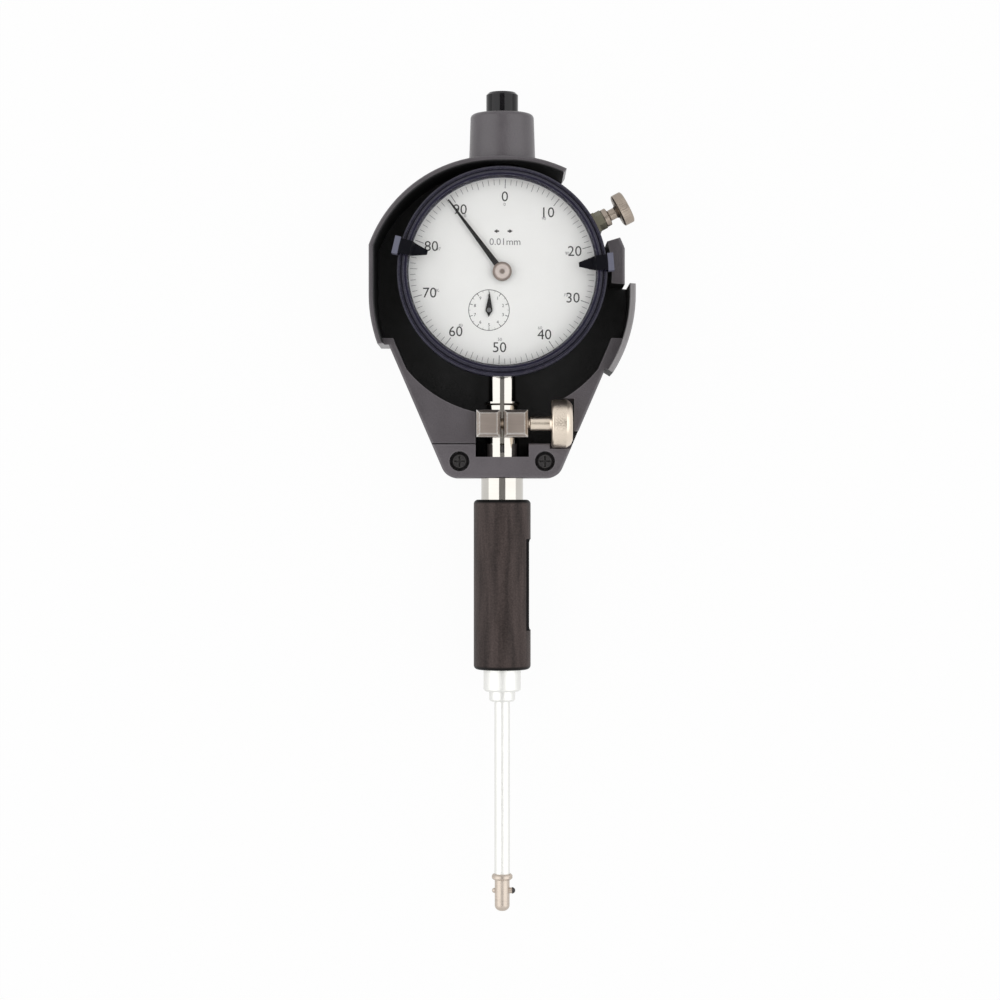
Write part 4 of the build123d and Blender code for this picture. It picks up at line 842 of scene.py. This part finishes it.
class GAUGE_OT_hands(bpy.types.Operator):
    """Finishes the hands, and makes the stepped hub of the main hand"""

    bl_idname = "gauge.hands"
    bl_label = "Hands"

    def execute(self, context):
        dial = context.scene.gauge_dial
        metal = context.scene.gauge_metal
        black = finish("hand lacquer", dial.hand, 0.0, (0.3, 0.45), 5.0, 0.004, shine=0.2)
        dress(black, "main_hand", "counter_hand")
        dress(self.limit_lacquer(dial), "limit_hand_left", "limit_hand_right")
        piece("hub_button", self.hub_shape(), self.hub_plating(metal), "centre", "nickel", "hand_hub")
        return {"FINISHED"}

    def hub_plating(self, metal):
        """Pale plating, with painted shade and dark reflection that make the rim and the hollow at the middle
        browner.
        """
        rim_start, rim_full = 1.8, 2.15
        hollow_start, hollow_full = 0.85, 0.45
        material, nodes, shader = new_material("hub plating")
        radius = nodes.dial_radius()
        rim = nodes.ramp(radius, rim_start * MM, rim_full * MM)
        hollow = nodes.ramp(radius, hollow_start * MM, hollow_full * MM)
        grain = nodes.group("Surface grain", Scale=5.0)
        pale = nodes.tones(grain, metal.hub, 0.85)
        brown = nodes.tones(grain, metal.hub_rim, 0.8)
        # painted shade and dark reflection on the rim and in the hollow
        base = nodes.mix(nodes.math("MAXIMUM", rim, hollow), pale, brown)
        nodes.put(base, shader.inputs["Base Color"])
        nodes.put(nodes.ramp(grain, 0.0, 1.0, 0.42, 0.58), shader.inputs["Roughness"])
        shader.inputs["Metallic"].default_value = 0.8
        grain_relief(nodes, shader, grain, 0.003)
        return material

    def limit_lacquer(self, dial):
        """Dark pointers with paler tabs outside the bezel."""
        tab_start, tab_full = 28.55, 28.75
        material, nodes, shader = new_material("limit lacquer")
        outside = nodes.ramp(nodes.dial_radius(), tab_start * MM, tab_full * MM)
        grain = nodes.group("Surface grain", Scale=5.0)
        pointer = nodes.tones(grain, dial.pointer, 0.7)
        tab = nodes.tones(grain, dial.tab, 0.85)
        nodes.put(nodes.mix(outside, pointer, tab), shader.inputs["Base Color"])
        nodes.put(nodes.ramp(grain, 0.0, 1.0, 0.32, 0.46), shader.inputs["Roughness"])
        shader.inputs["Specular IOR Level"].default_value = 0.12
        grain_relief(nodes, shader, grain, 0.004)
        return material

    def hub_shape(self):
        """A button with a raised rim, a sunk ring and a small boss, turned from depths below its top."""
        height, segments = HUB_TOP_Z - HUB_LOW_Z, 96
        side = [(height, 0.0), (height, 2.6), (0.17, 2.6)]
        rim = [(0.03, 2.5), (0.0, 2.35), (0.02, 1.95)]
        sunk_ring = [(0.2, 1.75), (0.2, 1.4)]
        boss = [(0.04, 1.25), (0.02, 0.75), (0.22, 0.6), (0.24, 0.0)]
        profile = side + rim + sunk_ring + boss
        shape = turned(plain_rows(*((HUB_TOP_Z - depth, radius) for depth, radius in profile)), segments)
        shape.transform(Matrix.Rotation(math.radians(-90), 4, "Y"))
        return shape


class GAUGE_OT_thumb_screws(bpy.types.Operator):
    """Makes the knurled clamp screw and bezel screw, and finishes the bush and its block"""

    bl_idname = "gauge.thumb_screws"
    bl_label = "Thumb screws"

    def execute(self, context):
        metal = context.scene.gauge_metal
        nickel = finish("warm nickel", metal.nickel, 1.0, (0.24, 0.4), 5.0, 0.004, drift=0.8)
        dull = finish("dull nickel", metal.dull, 1.0, (0.3, 0.46), 5.0, 0.004, drift=0.7)
        olive = finish("olive steel", metal.bush, 1.0, (0.36, 0.5), 5.0, 0.004, drift=0.8)
        dress(olive, "lock_bush", "lock_block")
        pitch = metal.knurl_pitch / MM
        depth = metal.knurl_depth / MM
        finer = 0.7  # the small screw's knurl, as a share of the large one's
        shape = self.clamp_screw(pitch, depth)
        shape.transform(Matrix.Translation(CLAMP_SCREW_PLACE))
        piece("clamp_thumb_screw", shape, nickel, "clamp_screw", "nickel", "clamp_screw")
        shape = self.lock_screw(pitch * finer, depth * finer)
        turn = Matrix.Rotation(math.radians(LOCK_SCREW_ANGLE), 4, "Z")
        shape.transform(turn @ Matrix.Translation((0, 0, LOCK_SCREW_Z)))
        piece("bezel_thumb_screw", shape, dull, "lock_screw", "nickel", "lock_screw")
        return {"FINISHED"}

    def clamp_screw(self, pitch, depth):
        """Thread through both ears, a plain neck, and a wide head with a domed and hollowed end."""
        thread_r, neck_r, head_r, hollow_r = 1.5, 2.0, 6.6, 2.2
        start, neck, head, tip = -7.0, 7.5, 13.5, 19.2
        chamfer, neck_rise, flare, flare_length = 0.3, 0.25, 0.35, 0.5
        edge, edge_in, hollow, hollow_in = 0.15, 0.45, 0.15, 0.2
        band_start, band_end = head + 0.5, tip - 1.7
        dome = ((1.3, 0.2), (0.75, 0.6), (0.3, 1.15), (0.0, 1.9))  # back from the tip, in from the side
        band, segments = knurl_rows(band_start, band_end, head_r, pitch, depth, crossed=True)
        rows = plain_rows((start, 0.0), (start, thread_r - chamfer))
        rows += thread_rows(start + chamfer, neck, thread_r)
        rows += plain_rows((neck + neck_rise, neck_r), (head - flare_length, neck_r), (head, neck_r + flare))
        rows += plain_rows((head, head_r - edge_in), (head + edge, head_r - edge))
        rows += band
        rows += plain_rows(*((tip - back, head_r - inward) for back, inward in dome))
        rows += plain_rows((tip, hollow_r), (tip - hollow, hollow_r - hollow_in), (tip - hollow, 0.0))
        return turned(rows, segments)

    def lock_screw(self, pitch, depth):
        """Pin in the block, a flange on the bush, a waisted neck and a small head with a hollowed end."""
        pin_r, flange_r, neck_r, root_r, head_r, hollow_r = 1.0, 2.5, 1.5, 2.4, 4.5, 1.6
        start, flange, neck, head, tip = 28.6, 31.34, 32.84, 35.64, 38.74
        chamfer, edge, edge_in, band_in = 0.15, 0.2, 0.5, 0.35
        foot, foot_length, root, root_length = 0.25, 0.3, 0.3, 0.75
        hollow, hollow_in = 0.12, 0.15
        band, segments = knurl_rows(head + band_in, tip - band_in, head_r, pitch, depth, crossed=False)
        rows = plain_rows((start, 0.0), (start, pin_r), (flange, pin_r), (flange, flange_r - chamfer))
        rows += plain_rows((flange + chamfer, flange_r), (neck - chamfer, flange_r))
        rows += plain_rows((neck, flange_r - chamfer), (neck, neck_r + foot), (neck + foot_length, neck_r))
        rows += plain_rows((head - root_length, neck_r), (head - root, neck_r + root), (head, root_r))
        rows += plain_rows((head, head_r - edge_in), (head + chamfer, head_r - edge))
        rows += band
        rows += plain_rows((tip - chamfer, head_r - edge), (tip, head_r - edge_in))
        rows += plain_rows((tip, hollow_r), (tip - hollow, hollow_r - hollow_in), (tip - hollow, 0.0))
        return turned(rows, segments)


class GAUGE_OT_tube(bpy.types.Operator):
    """Finishes the tube, the clamp collar, the stem and the probe"""

    bl_idname = "gauge.tube"
    bl_label = "Tube and probe"

    lines_round_y = (0.03, 1.0, 0.03)
    lines_along_x = (0.06, 1.0, 1.0)

    def execute(self, context):
        metal = context.scene.gauge_metal
        chrome = finish(
            "polished chrome", metal.chrome, 1.0, (0.05, 0.1), 6.0, 0.0004, self.lines_round_y, 0.94
        )
        dress(chrome, "main_tube", "stem", "upper_bush")
        # the bright edge colour is a painted highlight on the collar's bevels
        satin = finish(
            "satin steel", metal.satin, 1.0, (0.36, 0.48), 4.0, 0.004, self.lines_along_x, 0.85,
            edge=metal.bright, edge_width=0.7,
        )
        dress(satin, "clamp_collar")
        bright = finish("bright satin", metal.bright, 1.0, (0.42, 0.54), 5.0, 0.002, self.lines_round_y, 0.95)
        dress(bright, "end_collar", "probe_tube")
        probe = finish("probe steel", metal.probe, 1.0, (0.32, 0.5), 5.0, 0.004, self.lines_round_y, 0.75)
        dress(probe, "head_ring", "measuring_head", "head_plug", "anvil", "contact", "contact_tip")
        dress(finish("hard tips", metal.carbide, 0.8, (0.2, 0.35), 8.0, 0.002), "anvil_tip")
        return {"FINISHED"}


class GAUGE_OT_grip(bpy.types.Operator):
    """Finishes the moulded grip, its smooth ends and its panel"""

    bl_idname = "gauge.grip"
    bl_label = "Grip"

    def execute(self, context):
        guard = context.scene.gauge_guard
        grain_share, panel_matt = 0.35, 0.4
        material, nodes, shader = new_material("grip moulding")
        x, y, z = nodes.axes(nodes.place())
        grain = nodes.group("Surface grain", Scale=2.2)
        streaks = nodes.group("Surface grain", Stretch=(1.0, 0.1, 1.0), Scale=0.45)
        share = nodes.blend(grain, streaks, grain_share)
        along = nodes.math("ABSOLUTE", nodes.math("SUBTRACT", y, GRIP_MIDDLE_Y * MM))
        panel = self.on_panel(nodes, x, along, z)
        smooth = nodes.math("MAXIMUM", self.near_ends(nodes, along), panel)
        streaked = nodes.tones(share, guard.grip, 0.3, 1.65)
        plain = nodes.tones(grain, guard.grip_end, 0.6)
        nodes.put(nodes.mix(smooth, streaked, plain), shader.inputs["Base Color"])
        rough = nodes.ramp(share, 0.0, 1.0, 0.42, 0.58)
        matt = nodes.math("MULTIPLY", panel, panel_matt)
        nodes.put(nodes.math("ADD", rough, matt), shader.inputs["Roughness"])
        shader.inputs["Specular IOR Level"].default_value = 0.12
        relief = nodes.math("MULTIPLY", grain, nodes.math("SUBTRACT", 1.0, smooth))
        grain_relief(nodes, shader, relief, 0.035)
        dress(material, "grip")
        return {"FINISHED"}

    def near_ends(self, nodes, along):
        """1 on the rounded ends, from the distance along the grip."""
        half_length, fade = 22.5, 0.3
        return nodes.ramp(along, (half_length - fade) * MM, (half_length + fade) * MM)

    def on_panel(self, nodes, x, along, z):
        """1 on the flat panel at the side and on its border."""
        half_length, half_width, reach = 12.6, 4.5, 6.6
        across = nodes.math("ABSOLUTE", nodes.math("SUBTRACT", z, GRIP_AXIS_Z * MM))
        in_length = nodes.math("LESS_THAN", along, half_length * MM)
        in_width = nodes.math("LESS_THAN", across, half_width * MM)
        outside = nodes.math("GREATER_THAN", x, reach * MM)
        return nodes.math("MULTIPLY", nodes.math("MULTIPLY", in_length, in_width), outside)


class GAUGE_OT_movement(bpy.types.Operator):
    """Finishes the gears, springs, rod and screws inside, and makes the rod's coil"""

    bl_idname = "gauge.movement"
    bl_label = "Movement"

    def execute(self, context):
        metal = context.scene.gauge_metal
        brass = finish("brushed brass", metal.brass, 1.0, (0.3, 0.45), 4.0, 0.004, (1.0, 0.06, 1.0))
        dress(brass, "rear_plate", "front_plate", "counter_wheel", "takeup_wheel")
        dress(brass, "hairspring_stud", "rod_guide")
        steel = finish("ground steel", metal.steel, 1.0, (0.28, 0.42), 5.0, 0.003, (1.0, 0.2, 1.0), 0.8)
        dress(steel, "push_rod", "rod_collar", "back_screws", "spindle", "contact_point", "guide_pin")
        dress(steel, "spring_post", "return_spring", "plate_pillars", "plate_screws", "centre_pinion")
        dress(steel, "counter_arbor", "takeup_arbor", "hairspring")
        self.rod_coil(steel)
        return {"FINISHED"}

    def rod_coil(self, steel):
        """The rod's spring, made as it stands in place of the CAD spring; on the real gauge it is pressed
        together towards its guide as the rod moves.
        """
        low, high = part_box("rod_spring")
        wire, turns, share_left = 0.3, 7, 0.93
        radius = (high.x - low.x) / MM / 2 - wire
        middle = (low + high) / 2
        start = low.y / MM + wire
        length = (high.y - low.y) / MM - 2 * wire
        shape = self.coil(radius, wire, turns, length)
        shape.transform(Matrix.Translation((middle.x / MM, start, middle.z / MM)))
        spring = piece("rod_coil", shape, steel, "gauge", "steel", "rod_spring")
        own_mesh(spring)

    def coil(self, radius, wire, turns, length, sides=8, steps=32):
        """A coil of round wire along +Y."""
        shape = bmesh.new()
        rings = []
        count = turns * steps
        for step in range(count + 1):
            angle = FULL_TURN * step / steps
            along = length * step / count
            ring = []
            for side in range(sides):
                around = FULL_TURN * side / sides
                reach = radius + wire * math.cos(around)
                height = along + wire * math.sin(around)
                ring.append(shape.verts.new((reach * math.cos(angle), height, reach * math.sin(angle))))
            rings.append(ring)
        for ring, following in zip(rings, rings[1:]):
            for side in range(sides):
                after = (side + 1) % sides
                shape.faces.new((ring[side], ring[after], following[after], following[side]))
        shape.faces.new(rings[0])
        shape.faces.new(reversed(rings[-1]))
        return shape


class GAUGE_PT_pieces(bpy.types.Panel):
    """Lists what dresses the gauge"""

    bl_idname = "GAUGE_PT_pieces"
    bl_label = "Dial bore gauge"
    bl_space_type = "VIEW_3D"
    bl_region_type = "UI"
    bl_category = "Gauge"

    def draw(self, context):
        for operator in OPERATORS:
            self.layout.operator(operator.bl_idname)


SETTINGS = {
    "gauge_studio": GAUGE_PG_studio,
    "gauge_guard": GAUGE_PG_guard,
    "gauge_dial": GAUGE_PG_dial,
    "gauge_metal": GAUGE_PG_metal,
}
OPERATORS = (
    GAUGE_OT_stage, GAUGE_OT_guard, GAUGE_OT_indicator, GAUGE_OT_dial, GAUGE_OT_hands, GAUGE_OT_thumb_screws,
    GAUGE_OT_tube, GAUGE_OT_grip, GAUGE_OT_movement,
)


def register():
    for group in (*SETTINGS.values(), *OPERATORS, GAUGE_PT_pieces):
        bpy.utils.register_class(group)
    for name, group in SETTINGS.items():
        setattr(bpy.types.Scene, name, PointerProperty(type=group))


def unregister():
    for name in SETTINGS:
        delattr(bpy.types.Scene, name)
    for group in (GAUGE_PT_pieces, *reversed(OPERATORS), *reversed(SETTINGS.values())):
        bpy.utils.unregister_class(group)


def main():
    register()
    make_grain_group()
    make_handling_group()
    make_edge_group()
    bpy.ops.gauge.stage()
    bpy.ops.gauge.guard()
    bpy.ops.gauge.indicator()
    bpy.ops.gauge.dial()
    bpy.ops.gauge.hands()
    bpy.ops.gauge.thumb_screws()
    bpy.ops.gauge.tube()
    bpy.ops.gauge.grip()
    bpy.ops.gauge.movement()


if __name__ == "__main__":
    main()
